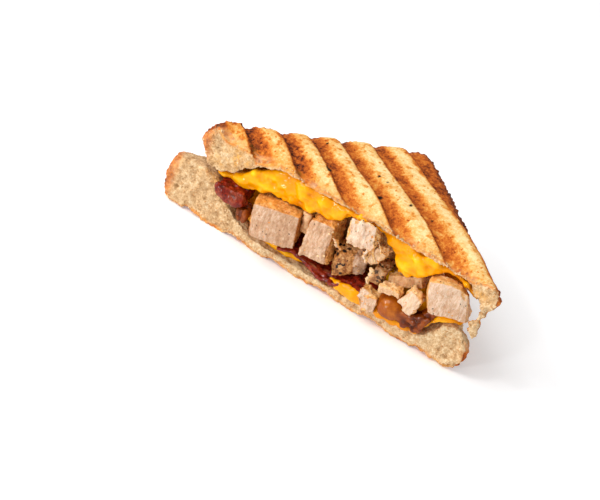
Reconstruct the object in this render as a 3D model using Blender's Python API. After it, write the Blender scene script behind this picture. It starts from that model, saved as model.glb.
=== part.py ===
# Half of a grilled chicken, bacon and cheese sandwich, cut corner to corner.
# X runs along the cut, +Y from the cut to the crust corner, +Z up; metres.
# The rest point of the bottom slice is the origin.
import math

import bpy
import bmesh
from mathutils import Matrix, Vector, noise
from mathutils.bvhtree import BVHTree

MM = 0.001
GAP = 0.35 * MM                 # clear air between neighbouring pieces
REST_PLACE = (-10 * MM, 19 * MM)    # the rest point, on a flat ridge of the underside

# The slices in plan: each is half of a square loaf slice
TOP_CORNER_DEPTH = 77 * MM
BOTTOM_CORNER_DEPTH = 75 * MM
TOP_HALF_CUT = 77.5 * MM
BOTTOM_LEFT_REACH = 95 * MM     # the bottom slice is bent out at its left end
BOTTOM_RIGHT_REACH = 75 * MM
TIP_ROUND = 3.0 * MM
CORNER_ROUND = 9 * MM
EDGE_STEP = 5.5 * MM

# Heights
TOP_LEVEL = 53 * MM             # the ridges of the top slice
CUT_DROOP = 4.6 * MM            # the top sags by this much at the cut
DROOP_REACH = 9 * MM
CRUST_DROP = 5.0 * MM           # rounding of the pressed crust edge
CRUST_DROP_REACH = 9 * MM
CRUST_BULGE = 2.2 * MM
TIP_BULGE = 3.6 * MM            # the blunt left tip of the top slice stands out by this too
PRESSED_SLICE = 5 * MM          # thickness of the bottom slice under the filling
SHEET = 2.2 * MM                # a slice of melted cheese
HEAP_FRONT = 15.6 * MM          # the chicken further in starts this far behind the cut
THINNEST = 0.3                  # how far a piece may be squeezed, as a share of its height
MEAT_ROUND = 0.16               # edge radius of a cut piece, as a share of its least side
SAUCE_ROUND = 0.42
RIM_HEIGHT = 23 * MM            # the bottom slice's unpressed crust rim
ROOF_LEVEL = 45.5 * MM          # underside of the top slice over the filling
RIM_THICKENING = 13.5 * MM      # the top slice's crust hangs lower by this much
TIP_LIFT = 3 * MM               # the left end of the top slice curls less than the rest
CORNER_X = 3 * MM               # the crust corner, along the cut
BOTTOM_CORNER_SHIFT = -6 * MM
CRUMB_RELIEF = 0.45 * MM

# Grill ridges, straight bars pressed in at a slant; the places where their grooves start are
# across the ridges, in millimetres from the middle of the cut
RIDGE_ANGLE = math.radians(-37)
RIDGE_STARTS = [-75.2, -60.6, -46.0, -31.4, -16.9, -2.6, 12.4, 28.8, 46.6, 64.0]
GROOVE_DEPTH = 2.7 * MM
GROOVE_PROFILE = [(0.0, 0.0), (0.09, 1.0), (0.30, 0.85), (0.60, 0.1), (0.80, 0.0), (1.0, 0.0)]

ACROSS = Vector((-math.sin(RIDGE_ANGLE), math.cos(RIDGE_ANGLE), 0))
ALONG = Vector((math.cos(RIDGE_ANGLE), math.sin(RIDGE_ANGLE), 0))

# Heights along the cut, as (x, z) in millimetres
TOP_UNDERSIDE_AT_CUT = [(-77, 36), (-72, 29), (-66, 28), (-59, 31), (-52, 37), (-45, 42),
                        (-38, 45.5), (5, 46), (60, 45.5), (65, 40), (72, 36), (77, 38)]
BOTTOM_TOP_AT_CUT = [(-93, 17), (-86, 25), (-75, 26), (-65, 23.5), (-58, 16), (-48, 10),
                     (-40, 5.5), (0, 5), (20, 5.6), (40, 7), (49, 8), (54.5, 13), (58, 20),
                     (64, 22.5), (74, 18)]
CHEESE_HEM_AT_CUT = [(-66, 25.5), (-58, 24.5), (-47, 25), (-40, 27.5), (-27, 30), (-13, 33), (-6, 37),
                     (-2, 44), (14, 44), (19, 37), (25, 30), (28, 27.5), (33, 31.5), (43, 36.5),
                     (51, 43)]

# Chicken at the cut, in millimetres and degrees:
# name, middle (x, z), front y, size (wide, high, deep), tilt, turn, taper, roughness
CHICKEN = [
    ("chicken_cube_left", (-30.8, 20.8), -6.0, (24.5, 19.2, 19), 9, 10, 0.0, 0.35),
    ("chicken_between", (-19.0, 27.0), 1.5, (6.5, 11.0, 14), 6, 0, 0.0, 0.6),
    ("chicken_leaning", (-7.8, 25.4), -4.0, (16.6, 21.5, 17), 9, 0, -0.12, 0.7),
    ("chicken_high", (9.2, 41.2), -5.5, (14.4, 15.2, 15), 11, 0, 0.0, 0.7),
    ("chicken_shred_high", (17.8, 33.5), -2.0, (6.0, 9.5, 8), -22, 0, 0.3, 1.1),
    ("chicken_seasoned", (5.6, 19.0), 1.0, (15.5, 14.0, 13), 4, 32, 0.0, 0.5),
    ("chicken_dark", (21.4, 22.6), 1.0, (6.0, 9.5, 13), -8, 0, 0.1, 0.7),
    ("chicken_flat", (33.8, 26.6), 3.0, (17.5, 6.6, 11), 29, 0, 0.0, 0.7),
    ("chicken_wedge", (40.4, 23.4), -4.0, (9.5, 11.0, 6.5), -22, 0, -0.2, 0.8),
    ("chicken_shred_low", (31.0, 22.0), -4.0, (10.5, 4.2, 6.5), 10, 0, 0.0, 1.0),
    ("chicken_cube_right", (54.8, 34.6), -6.0, (20.5, 17.8, 18), 17, 11, 0.0, 0.35),
    ("chicken_pink", (23.8, 10.6), -4.5, (9.2, 8.2, 7), 22, 0, 0.2, 0.5),
]
COATED = ("chicken_seasoned", "chicken_dark")
# Lumps of sauce on the bottom cheese: name, middle (x, z), front y, size
SAUCE = [
    ("sauce_drip", (-47.4, 15.0), -3.0, (6.4, 10.5, 9)),
    ("sauce_lump_left", (33.0, 13.2), -4.0, (12.0, 10.2, 10)),
    ("sauce_lump_middle", (41.4, 12.2), -3.0, (7.6, 8.2, 8)),
    ("sauce_lump_right", (48.2, 13.2), -3.5, (8.6, 8.8, 8)),
]

# Bacon strips, in millimetres: the first along the cut, the second out at the crust
FRONT_STRIP = {"start": -27, "length": 50, "y": 6.6, "z": 9.6, "wide": 15.5, "thick": 2.4}
SIDE_STRIP = {"start": (-45.5, 45.5, 21.5), "inward": (0.62, -0.78, 0), "length": 19, "rise": 5.4,
              "wide": 13, "thick": 2.4}
# The torn crumb that hangs from the right end of the top slice
SHRED = {"start": (70.0, 4.0, 40.0), "drop": 17.5, "forward": 5.5, "wide": 4.4, "thick": 1.9}

# The folded end of a bacon strip, given as the chicken is
BACON_END = ("bacon_left", (-55.0, 21.4), -3.5, (15.0, 8.6, 14), 6, 0, 0.0, 0.9)

COLOURS = {
    "bread": (0.80, 0.55, 0.27),
    "cheese": (0.95, 0.50, 0.05),
    "chicken": (0.74, 0.56, 0.42),
    "coated": (0.52, 0.30, 0.15),
    "bacon": (0.22, 0.045, 0.025),
    "sauce": (0.58, 0.20, 0.04),
}
ROUGHNESS = {"bread": 0.85, "cheese": 0.3, "chicken": 0.6, "coated": 0.6, "bacon": 0.35, "sauce": 0.25}


def clear_scene():
    for obj in list(bpy.data.objects):
        bpy.data.objects.remove(obj, do_unlink=True)


def make_material(name):
    material = bpy.data.materials.new(name)
    material.use_nodes = True
    shader = material.node_tree.nodes["Principled BSDF"]
    shader.inputs["Base Color"].default_value = (*COLOURS[name], 1.0)
    shader.inputs["Roughness"].default_value = ROUGHNESS[name]
    shader.inputs["Metallic"].default_value = 0.0
    return material


def add_object(name, bm, material):
    bmesh.ops.recalc_face_normals(bm, faces=bm.faces)
    mesh = bpy.data.meshes.new(name)
    bm.to_mesh(mesh)
    bm.free()
    mesh.materials.append(material)
    mesh.shade_smooth()
    obj = bpy.data.objects.new(name, mesh)
    bpy.context.collection.objects.link(obj)
    return obj


def between(value, low, high):
    return max(low, min(high, value))


def smooth(edge_low, edge_high, value):
    t = between((value - edge_low) / (edge_high - edge_low), 0.0, 1.0)
    return t * t * (3 - 2 * t)


def along(keys, x):
    """Height in metres at x metres, eased between the (x, z) keys in millimetres."""
    x_mm = x / MM
    if x_mm <= keys[0][0]:
        return keys[0][1] * MM
    for (x0, z0), (x1, z1) in zip(keys, keys[1:]):
        if x_mm <= x1:
            return (z0 + (z1 - z0) * smooth(x0, x1, x_mm)) * MM
    return keys[-1][1] * MM


def lumps(x, y, z, size, seed):
    """Even noise from -1 to 1 with lumps of the given size."""
    place = Vector((x, y, z)) / size + Vector((seed * 7.3, seed * 3.1, seed * 5.7))
    return between(noise.noise(place) * 1.6, -1.0, 1.0)


# Plan shapes

def slice_corners(left, right, depth):
    return [Vector((-left, 0, 0)), Vector((right, 0, 0)), Vector((CORNER_X, depth, 0))]


def crust_distance(x, y, corners):
    """Distance in from the two crust sides, rounded where they meet."""
    sides = []
    for start, end in ((corners[1], corners[2]), (corners[2], corners[0])):
        run = (end - start).normalized()
        sides.append(run.x * (y - start.y) - run.y * (x - start.x))
    soft = 10 * MM
    blend = max(soft - abs(sides[0] - sides[1]), 0.0) / soft
    return min(sides) - blend * blend * soft * 0.25


def rounded_outline(corners, radii, step):
    """Points round a triangle with rounded corners, at about the given step."""
    points = []
    count = len(corners)
    for i, corner in enumerate(corners):
        before = (corners[i - 1] - corner).normalized()
        after = (corners[(i + 1) % count] - corner).normalized()
        half = before.angle(after) / 2
        reach = radii[i] / math.tan(half)
        centre = corner + (before + after).normalized() * radii[i] / math.sin(half)
        start = corner + before * reach - centre
        sweep = math.pi - 2 * half
        pieces = max(2, round(radii[i] * sweep / step * 1.6))
        for k in range(pieces + 1):
            points.append(centre + Matrix.Rotation(sweep * k / pieces, 3, "Z") @ start)
        next_corner = corners[(i + 1) % count]
        next_half = (corner - next_corner).angle(corners[(i + 2) % count] - next_corner) / 2
        run_start = corner + after * reach
        run_end = next_corner - after * radii[(i + 1) % count] / math.tan(next_half)
        steps = max(1, round((run_end - run_start).length / step))
        for k in range(1, steps):
            points.append(run_start.lerp(run_end, k / steps))
    return points


def ridge_lines():
    """Cutting lines along every bend of the grill ridges, and across them."""
    lines = []
    for start, end in zip(RIDGE_STARTS, RIDGE_STARTS[1:]):
        for share, _ in GROOVE_PROFILE[:-1]:
            lines.append((ACROSS * (start + share * (end - start)) * MM, ACROSS))
    for k in range(-14, 14):
        lines.append((ALONG * k * 7.5 * MM, ALONG))
    lines.append((Vector((0, 2.5 * MM, 0)), Vector((0, 1, 0))))
    lines.append((Vector((0, 6.5 * MM, 0)), Vector((0, 1, 0))))
    return lines


def square_lines(step, near_cut):
    lines = [(Vector((k * step, 0, 0)), Vector((1, 0, 0))) for k in range(-14, 15)]
    lines += [(Vector((0, near_cut + k * step, 0)), Vector((0, 1, 0))) for k in range(12)]
    return lines


def plan_cells(outline, lines):
    """A flat triangle mesh that fills the outline, cut along the lines."""
    bm = bmesh.new()
    bm.faces.new([bm.verts.new((p.x, p.y, 0)) for p in outline])
    for place, normal in lines:
        geometry = bm.verts[:] + bm.edges[:] + bm.faces[:]
        bmesh.ops.bisect_plane(bm, geom=geometry, dist=1e-6, plane_co=place, plane_no=normal)
    bmesh.ops.remove_doubles(bm, verts=bm.verts, dist=1.1 * MM)
    bmesh.ops.dissolve_degenerate(bm, dist=0.1 * MM, edges=bm.edges)
    bmesh.ops.triangulate(bm, faces=bm.faces)
    bmesh.ops.recalc_face_normals(bm, faces=bm.faces)
    return bm


def boundary_loop(bm):
    """The outer vertices of a flat mesh, counter-clockwise."""
    following = {}
    for edge in bm.edges:
        if edge.is_boundary:
            loop = edge.link_loops[0]
            following[loop.vert] = loop.link_loop_next.vert
    start = next(iter(following))
    ring = [start]
    while following[ring[-1]] is not start:
        ring.append(following[ring[-1]])
    return ring


def slab(outline, lines, top, bottom, stand_out, rows):
    """A closed solid between two height functions, its wall bulged by stand_out(x, y, t)."""
    plan = plan_cells(outline, lines)
    if sum(face.normal.z for face in plan.faces) < 0:
        bmesh.ops.reverse_faces(plan, faces=plan.faces)
    ring = boundary_loop(plan)
    bm = bmesh.new()
    upper = {}
    lower = {}
    for vert in plan.verts:
        x, y = vert.co.x, vert.co.y
        z_low = bottom(x, y)
        z_high = max(top(x, y), z_low + 0.6 * MM)
        upper[vert] = bm.verts.new((x, y, z_high))
        lower[vert] = bm.verts.new((x, y, z_low))
    for face in plan.faces:
        bm.faces.new([upper[v] for v in face.verts])
        bm.faces.new([lower[v] for v in reversed(face.verts)])
    levels = [[lower[v] for v in ring]]
    for k in range(1, rows):
        t = k / rows
        level = []
        for i, vert in enumerate(ring):
            run = ring[(i + 1) % len(ring)].co - ring[i - 1].co
            out = Vector((run.y, -run.x, 0)).normalized()
            place = lower[vert].co.lerp(upper[vert].co, t)
            level.append(bm.verts.new(place + out * stand_out(vert.co.x, vert.co.y, t)))
        levels.append(level)
    levels.append([upper[v] for v in ring])
    for low, high in zip(levels, levels[1:]):
        for i in range(len(ring)):
            j = (i + 1) % len(ring)
            bm.faces.new((low[i], low[j], high[j]))
            bm.faces.new((low[i], high[j], high[i]))
    plan.free()
    return bm


# Reading the pieces already made

def tree_of(obj):
    mesh = obj.data
    mesh.calc_loop_triangles()
    corners = [tuple(tri.vertices) for tri in mesh.loop_triangles]
    return BVHTree.FromPolygons([v.co.copy() for v in mesh.vertices], corners)


def step_clear(bm, trees, step):
    """Moves the faces that still cross a neighbour, a small step at a time."""
    for _ in range(14):
        bm.faces.ensure_lookup_table()
        own = BVHTree.FromBMesh(bm)
        crossing = {index for tree in trees for index, _ in own.overlap(tree)}
        if not crossing:
            return
        for vert in {vert for index in crossing for vert in bm.faces[index].verts}:
            vert.co += step


def ring_places(x, y, reach):
    yield x, y
    if reach > 0:
        for k in range(8):
            turn = math.tau * k / 8
            yield x + reach * math.cos(turn), y + reach * math.sin(turn)


def top_of(trees, x, y, reach=0.0):
    """Highest point of the pieces within reach of a place, or None."""
    heights = []
    for px, py in ring_places(x, y, reach):
        for tree in trees:
            hit = tree.ray_cast(Vector((px, py, 1.0)), Vector((0, 0, -1)))[0]
            if hit is not None:
                heights.append(hit.z)
    return max(heights, default=None)


def underside_of(trees, x, y, reach=0.0):
    """Lowest point of the pieces within reach of a place, or None."""
    heights = []
    for px, py in ring_places(x, y, reach):
        for tree in trees:
            hit = tree.ray_cast(Vector((px, py, -1.0)), Vector((0, 0, 1)))[0]
            if hit is not None:
                heights.append(hit.z)
    return min(heights, default=None)


# Bread

def groove(x, y):
    """How deep the grill pressed in, 0 on a ridge to 1 in a groove."""
    place = (ACROSS.x * x + ACROSS.y * y) / MM
    start, end = next(((a, b) for a, b in zip(RIDGE_STARTS, RIDGE_STARTS[1:]) if place < b),
                      RIDGE_STARTS[-2:])
    share = between((place - start) / (end - start), 0.0, 1.0)
    for (s0, d0), (s1, d1) in zip(GROOVE_PROFILE, GROOVE_PROFILE[1:]):
        if share <= s1:
            return d0 + (d1 - d0) * (share - s0) / (s1 - s0)
    return 0.0


def crust_drop(x, inside):
    """Rounding of the edge; the left tip keeps its full height."""
    short = between(1 - inside / CRUST_DROP_REACH, 0.0, 1.2)
    return CRUST_DROP * short * short * (0.2 + 0.8 * smooth(-70 * MM, -48 * MM, x))


def crust_wall(x, y, t):
    """Bulge of a crust side, with nothing but crumb relief on the cut."""
    crumb = CRUMB_RELIEF * lumps(x, y, t * 12 * MM, 4 * MM, 3)
    on_cut = y < 1.2 * MM
    bulge = 0.0 if on_cut else CRUST_BULGE * math.sin(math.pi * t)
    return bulge + crumb


def top_wall(x, y, t):
    """The crust wall, with the blunt left tip standing out further."""
    tip = smooth(-60 * MM, -70 * MM, x) * smooth(0, 3 * MM, y)
    return crust_wall(x, y, t) + TIP_BULGE * tip * math.sin(math.pi * t)


def make_bread_top(material):
    corners = slice_corners(TOP_HALF_CUT, TOP_HALF_CUT, TOP_CORNER_DEPTH)
    outline = rounded_outline(corners, [TIP_ROUND, TIP_ROUND, CORNER_ROUND], EDGE_STEP)

    def top(x, y):
        droop = CUT_DROOP * math.exp(-(y / DROOP_REACH) ** 2)
        droop *= 1 - 0.6 * smooth(62 * MM, 72 * MM, x)
        droop += TIP_LIFT * smooth(-40 * MM, -50 * MM, x) * math.exp(-(y / (5 * MM)) ** 2)
        droop *= 1 - 0.8 * smooth(-65 * MM, -73 * MM, x)
        relief = GROOVE_DEPTH * groove(x, y) + 0.35 * MM * lumps(x, y, 0, 9 * MM, 1)
        return TOP_LEVEL - droop - relief - crust_drop(x, crust_distance(x, y, corners))

    def bottom(x, y):
        inside = crust_distance(x, y, corners)
        deep = ROOF_LEVEL - RIM_THICKENING * smooth(19 * MM, 4 * MM, inside)
        at_cut = along(TOP_UNDERSIDE_AT_CUT, x)
        return at_cut + (deep - at_cut) * smooth(4 * MM, 18 * MM, y)

    bm = slab(outline, ridge_lines(), top, bottom, top_wall, 4)
    return add_object("bread_top", bm, material)


def make_bread_bottom(material):
    corners = slice_corners(BOTTOM_LEFT_REACH, BOTTOM_RIGHT_REACH, BOTTOM_CORNER_DEPTH)
    corners[2].x += BOTTOM_CORNER_SHIFT
    outline = rounded_outline(corners, [TIP_ROUND * 1.3, TIP_ROUND, CORNER_ROUND], EDGE_STEP)

    def top(x, y):
        inside = crust_distance(x, y, corners)
        rim = (RIM_HEIGHT - PRESSED_SLICE) * smooth(22 * MM, 11 * MM, inside)
        deep = PRESSED_SLICE + rim
        at_cut = along(BOTTOM_TOP_AT_CUT, x)
        height = at_cut + (deep - at_cut) * smooth(3 * MM, 16 * MM, y)
        return height - crust_drop(x, inside) * 0.7 + 0.3 * MM * lumps(x, y, 0, 8 * MM, 2)

    def bottom(x, y):
        pressed = GROOVE_DEPTH * 0.7 * max(groove(x, y) - 0.1, 0.0)
        return pressed + crust_drop(x, crust_distance(x, y, corners)) * 0.6

    bm = slab(outline, ridge_lines(), top, bottom, crust_wall, 4)
    return add_object("bread_bottom", bm, material)


# Filling

def sheet_outline(left, inset, fronts, lobe, seed):
    """Plan of a layer inside the crusts, its edge let in and out by lobes; fronts are its
    distances behind the cut at the left and at the right."""
    corners = slice_corners(left, TOP_HALF_CUT, BOTTOM_CORNER_DEPTH)
    points = []
    for p in rounded_outline(corners, [4 * MM, 4 * MM, 12 * MM], 5 * MM):
        middle = Vector((0, 26 * MM, 0))
        shrink = 1 - inset / (26 * MM)
        q = middle + (p - middle) * shrink
        wave = lobe * lumps(q.x, q.y, 0, 16 * MM, seed)
        q += (q - middle).normalized() * wave
        if p.y < 1 * MM:
            front = fronts[0] + (fronts[1] - fronts[0]) * smooth(-5 * MM, 8 * MM, q.x)
            q.y = front + lobe * 0.6 * lumps(q.x, 0, 0, 11 * MM, seed + 4)
        points.append(q)
    return points


def soft_wall(bulge):
    def stand_out(x, y, t):
        return bulge * math.sin(math.pi * t) * (0.8 + 0.3 * lumps(x, y, 0, 9 * MM, 6))
    return stand_out


def make_cheese_bottom(material, bread_bottom):
    under = [tree_of(bread_bottom)]

    def bottom(x, y):
        return (top_of(under, x, y, 4.6 * MM) or 12 * MM) + GAP

    def top(x, y):
        return bottom(x, y) + SHEET + 0.6 * MM * lumps(x, y, 0, 14 * MM, 8)

    fronts = (4.0 * MM, 0.9 * MM)
    outline = sheet_outline(TOP_HALF_CUT - 9 * MM, 2.6 * MM, fronts, 2.6 * MM, 5)
    bm = slab(outline, square_lines(6 * MM, 4 * MM), top, bottom, soft_wall(0.5 * MM), 2)
    step_clear(bm, under, Vector((0, 0, GAP)))
    return add_object("cheese_bottom", bm, material)


def make_cheese_top(material, bread_top, filling):
    above = [tree_of(bread_top)]
    under = [tree_of(obj) for obj in filling]

    def top(x, y):
        return (underside_of(above, x, y, 3.8 * MM) or 30 * MM) - GAP

    def bottom(x, y):
        hang = top(x, y) - along(CHEESE_HEM_AT_CUT, x) - SHEET
        natural = top(x, y) - SHEET - max(hang, 0.0) * math.exp(-(max(y, 0.0) / (7 * MM)) ** 2)
        fill = top_of(under, x, y, 3.6 * MM)
        return natural if fill is None else max(natural, fill + GAP)

    outline = sheet_outline(TOP_HALF_CUT, 2.2 * MM, (1.6 * MM, 1.6 * MM), 2.8 * MM, 9)
    bm = slab(outline, square_lines(5 * MM, 3 * MM), top, bottom, soft_wall(1.2 * MM), 3)
    step_clear(bm, above, Vector((0, 0, -GAP)))
    step_clear(bm, under, Vector((0, 0, GAP)))
    return add_object("cheese_top", bm, material)


def rounded_box(size, cuts, radius):
    """A box with rounded edges on an even grid, centred on the origin."""
    bm = bmesh.new()
    bmesh.ops.create_cube(bm, size=1.0)
    bmesh.ops.subdivide_edges(bm, edges=bm.edges, cuts=cuts, use_grid_fill=True)
    half = Vector(size) / 2
    for vert in bm.verts:
        p = Vector([vert.co[i] * 2 * half[i] for i in range(3)])
        inner = Vector([between(p[i], radius - half[i], half[i] - radius) for i in range(3)])
        away = p - inner
        if away.length > 0:
            p = inner + away.normalized() * min(away.length, radius)
        vert.co = p
    return bm


def make_chunk(entry):
    """One cut of chicken at the cut face: its mesh in place, and its three directions."""
    name, (x, z), front, (wide, high, deep), tilt, turn, taper, rough = entry
    cuts = 3 if wide * high > 120 else 2
    size = (wide * MM, deep * MM, high * MM)
    share = SAUCE_ROUND if name.startswith("sauce") else MEAT_ROUND
    bm = rounded_box(size, cuts, min(size) * share)
    turning = Matrix.Rotation(math.radians(-tilt), 3, "Y") @ Matrix.Rotation(math.radians(turn), 3, "Z")
    middle = Vector((x * MM, (front + deep / 2) * MM, z * MM))
    seed = sum(map(ord, name)) % 17
    for vert in bm.verts:
        p = vert.co.copy()
        p.x *= 1 + taper * p.z / size[2] * 2
        wave = lumps(p.x, p.y, p.z, 5 * MM, seed) * rough * MM
        p += p.normalized() * wave
        vert.co = middle + turning @ p
    return {"name": name, "bm": bm, "axes": [turning.col[i].copy() for i in range(3)], "middle": middle}


def press_apart(pieces):
    """Flattens neighbours against each other where they would meet."""
    for i, first in enumerate(pieces):
        for second in pieces[i + 1:]:
            best = None
            toward = second["middle"] - first["middle"]
            for axis in first["axes"] + second["axes"] + [toward.normalized()]:
                side = axis if axis.dot(toward) > 0 else -axis
                reach = max(v.co.dot(side) for v in first["bm"].verts)
                start = min(v.co.dot(side) for v in second["bm"].verts)
                depth = reach - start + GAP
                if best is None or depth < best[0]:
                    best = (depth, side, reach)
            depth, side, reach = best
            if depth <= 0:
                continue
            limit = reach - depth / 2
            for vert in first["bm"].verts:
                vert.co -= side * max(vert.co.dot(side) - limit, 0.0)
            for vert in second["bm"].verts:
                vert.co += side * max(limit + GAP - vert.co.dot(side), 0.0)


def settle(piece, trees_below, trees_above, room):
    """Squeezes a piece evenly between what lies under it and what lies over it."""
    heights = [vert.co.z for vert in piece["bm"].verts]
    lowest, highest = min(heights), max(heights)
    span = highest - lowest
    for vert in piece["bm"].verts:
        floor = top_of(trees_below, vert.co.x, vert.co.y, 1.6 * MM)
        base = lowest if floor is None else max(lowest, floor + GAP)
        roof = underside_of(trees_above, vert.co.x, vert.co.y, 4 * MM)
        peak = highest if roof is None else min(highest, roof - room)
        peak = max(peak, base + THINNEST * span)
        vert.co.z = base + (peak - base) * (vert.co.z - lowest) / span


def make_ribbon(path, width_direction, width, thickness, seed):
    """A wavy strip of bacon with its middle line on the path."""
    bm = bmesh.new()
    rings = []
    across = 5
    for i, place in enumerate(path):
        run = (path[min(i + 1, len(path) - 1)] - path[max(i - 1, 0)]).normalized()
        side = (width_direction - run * width_direction.dot(run)).normalized()
        up = run.cross(side)
        if up.z < 0:
            up = -up
        ring = []
        for direction in (1, -1):
            for k in range(across):
                share = (k / (across - 1) - 0.5) * direction
                edge = width * (1 + 0.08 * lumps(i * 7 * MM, 0, 0, 12 * MM, seed))
                wave = 0.5 * MM * lumps(place.x, share * width, place.z, 7 * MM, seed)
                thick = thickness * (0.5 if abs(share) < 0.49 else 0.3)
                ring.append(bm.verts.new(place + side * share * edge + up * (thick * direction + wave)))
        rings.append(ring)
    count = len(rings[0])
    for low, high in zip(rings, rings[1:]):
        for k in range(count):
            j = (k + 1) % count
            bm.faces.new((low[k], low[j], high[j], high[k]))
    bm.faces.new(rings[0])
    bm.faces.new(list(reversed(rings[-1])))
    bmesh.ops.triangulate(bm, faces=bm.faces)
    return bm


def bacon_front_piece():
    """A strip that lies along the cut on the bottom cheese."""
    s = FRONT_STRIP
    path = []
    for k in range(12):
        t = k / 11
        end_lift = 3.0 * smooth(0.55, 1.0, t) * (1 - smooth(0.9, 1.0, t))
        lift = s["z"] + 1.6 * math.sin(t * 9.0) + end_lift
        path.append(Vector((s["start"] + s["length"] * t, s["y"] + 1.2 * math.sin(t * 6), lift)) * MM)
    bm = make_ribbon(path, Vector((0, 1, 0.1)), s["wide"] * MM, s["thick"] * MM, 2)
    return {"name": "bacon_front", "bm": bm}


def bacon_side_piece():
    """A strip that sticks out between the slices at the left crust side."""
    s = SIDE_STRIP
    path = []
    for k in range(11):
        t = k / 10
        rise = 1.6 * math.sin(t * 9.0) * (1 - t) + s["rise"] * smooth(0.0, 0.55, t)
        path.append((Vector(s["start"]) + Vector(s["inward"]) * s["length"] * t + Vector((0, 0, rise))) * MM)
    width_way = Vector((-s["inward"][1], s["inward"][0], 0))
    bm = make_ribbon(path, width_way, s["wide"] * MM, s["thick"] * MM, 7)
    return {"name": "bacon_side", "bm": bm}


def crumb_shred(slice_object):
    """A torn strip of crumb that hangs from the right end of the top slice, fused to it."""
    s = SHRED
    path = []
    for k in range(9):
        t = k / 8
        sway = 1.5 * t + 1.1 * math.sin(t * 7.0)
        drift = Vector((sway, -s["forward"] * smooth(0.0, 0.6, t), -s["drop"] * t))
        path.append((Vector(s["start"]) + drift) * MM)
    strip = add_object("strip", make_ribbon(path, Vector((1, 0.3, 0)), s["wide"] * MM, s["thick"] * MM, 9),
                       slice_object.data.materials[0])
    fuse = slice_object.modifiers.new("fuse", "BOOLEAN")
    fuse.operation = "UNION"
    fuse.solver = "EXACT"
    fuse.object = strip
    evaluated = slice_object.evaluated_get(bpy.context.evaluated_depsgraph_get())
    fused = bpy.data.meshes.new_from_object(evaluated)
    slice_object.modifiers.clear()
    slice_object.data = fused
    bpy.data.objects.remove(strip, do_unlink=True)


def make_heap(material, below, above):
    """The chicken further in, one lumpy mass behind the pieces at the cut."""
    lift = [tree_of(obj) for obj in below]
    roof = [tree_of(obj) for obj in above]

    def bottom(x, y):
        return (top_of(lift, x, y, 5 * MM) or 8 * MM) + GAP

    def top(x, y):
        ceiling = (underside_of(roof, x, y, 3 * MM) or 30 * MM) - SHEET - 3 * GAP - 0.4 * MM
        mound = abs(lumps(x, y, 0, 13 * MM, 11)) * 5 * MM
        return max(bottom(x, y) + 1.2 * MM, ceiling - mound)

    def stand_out(x, y, t):
        return (0.9 + 1.4 * lumps(x, y, t * 18 * MM, 10 * MM, 12)) * math.sin(math.pi * t) * MM

    corners = [Vector((-49, 16.8, 0)) * MM, Vector((50, 16.8, 0)) * MM, Vector((4, 62, 0)) * MM]
    outline = rounded_outline(corners, [4 * MM, 4 * MM, 9 * MM], 5 * MM)
    bm = slab(outline, square_lines(6 * MM, 21 * MM), top, bottom, stand_out, 4)
    for vert in bm.verts:
        vert.co.y = max(vert.co.y, HEAP_FRONT)
    step_clear(bm, lift, Vector((0, 0, GAP)))
    return add_object("chicken_filling", bm, material)


def main():
    clear_scene()
    materials = {name: make_material(name) for name in COLOURS}

    bread_bottom = make_bread_bottom(materials["bread"])
    bread_top = make_bread_top(materials["bread"])
    cheese_bottom = make_cheese_bottom(materials["cheese"], bread_bottom)

    low_trees = [tree_of(bread_bottom), tree_of(cheese_bottom)]
    roof_trees = [tree_of(bread_top)]
    room = SHEET * 0.5 + 2 * GAP

    strips = [bacon_front_piece(), bacon_side_piece()]
    for strip in strips:
        settle(strip, low_trees, roof_trees, room)
        step_clear(strip["bm"], low_trees, Vector((0, 0, GAP)))
    strip_objects = [add_object(s["name"], s["bm"], materials["bacon"]) for s in strips]

    entries = [(entry, "coated" if entry[0] in COATED else "chicken") for entry in CHICKEN]
    entries += [((*entry, 4, 8, 0.0, 0.6), "sauce") for entry in SAUCE]
    entries.append((BACON_END, "bacon"))
    pieces = [make_chunk(entry) for entry, _ in entries]
    low_trees = [tree_of(obj) for obj in [bread_bottom, cheese_bottom] + strip_objects]
    for piece in pieces:
        settle(piece, low_trees, roof_trees, room)
        for vert in piece["bm"].verts:
            vert.co.y = min(vert.co.y, HEAP_FRONT - GAP)
    press_apart(pieces)
    for piece in pieces:
        step_clear(piece["bm"], low_trees, Vector((0, 0, GAP)))
    chunk_objects = [add_object(piece["name"], piece["bm"], materials[coat])
                     for piece, (_, coat) in zip(pieces, entries)]

    lower = [bread_bottom, cheese_bottom] + strip_objects
    heap = make_heap(materials["chicken"], lower, [bread_top])
    make_cheese_top(materials["cheese"], bread_top, lower + chunk_objects + [heap])

    crumb_shred(bread_top)

    stand = bpy.data.objects.new("melt_half", None)
    bpy.context.collection.objects.link(stand)
    stand.location = (-REST_PLACE[0], -REST_PLACE[1], 0)
    for obj in bpy.data.objects:
        if obj.type == "MESH":
            obj.parent = stand


main()
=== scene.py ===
import itertools
import math

import bpy
import bmesh
import numpy as np
from mathutils import Matrix, Vector


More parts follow.
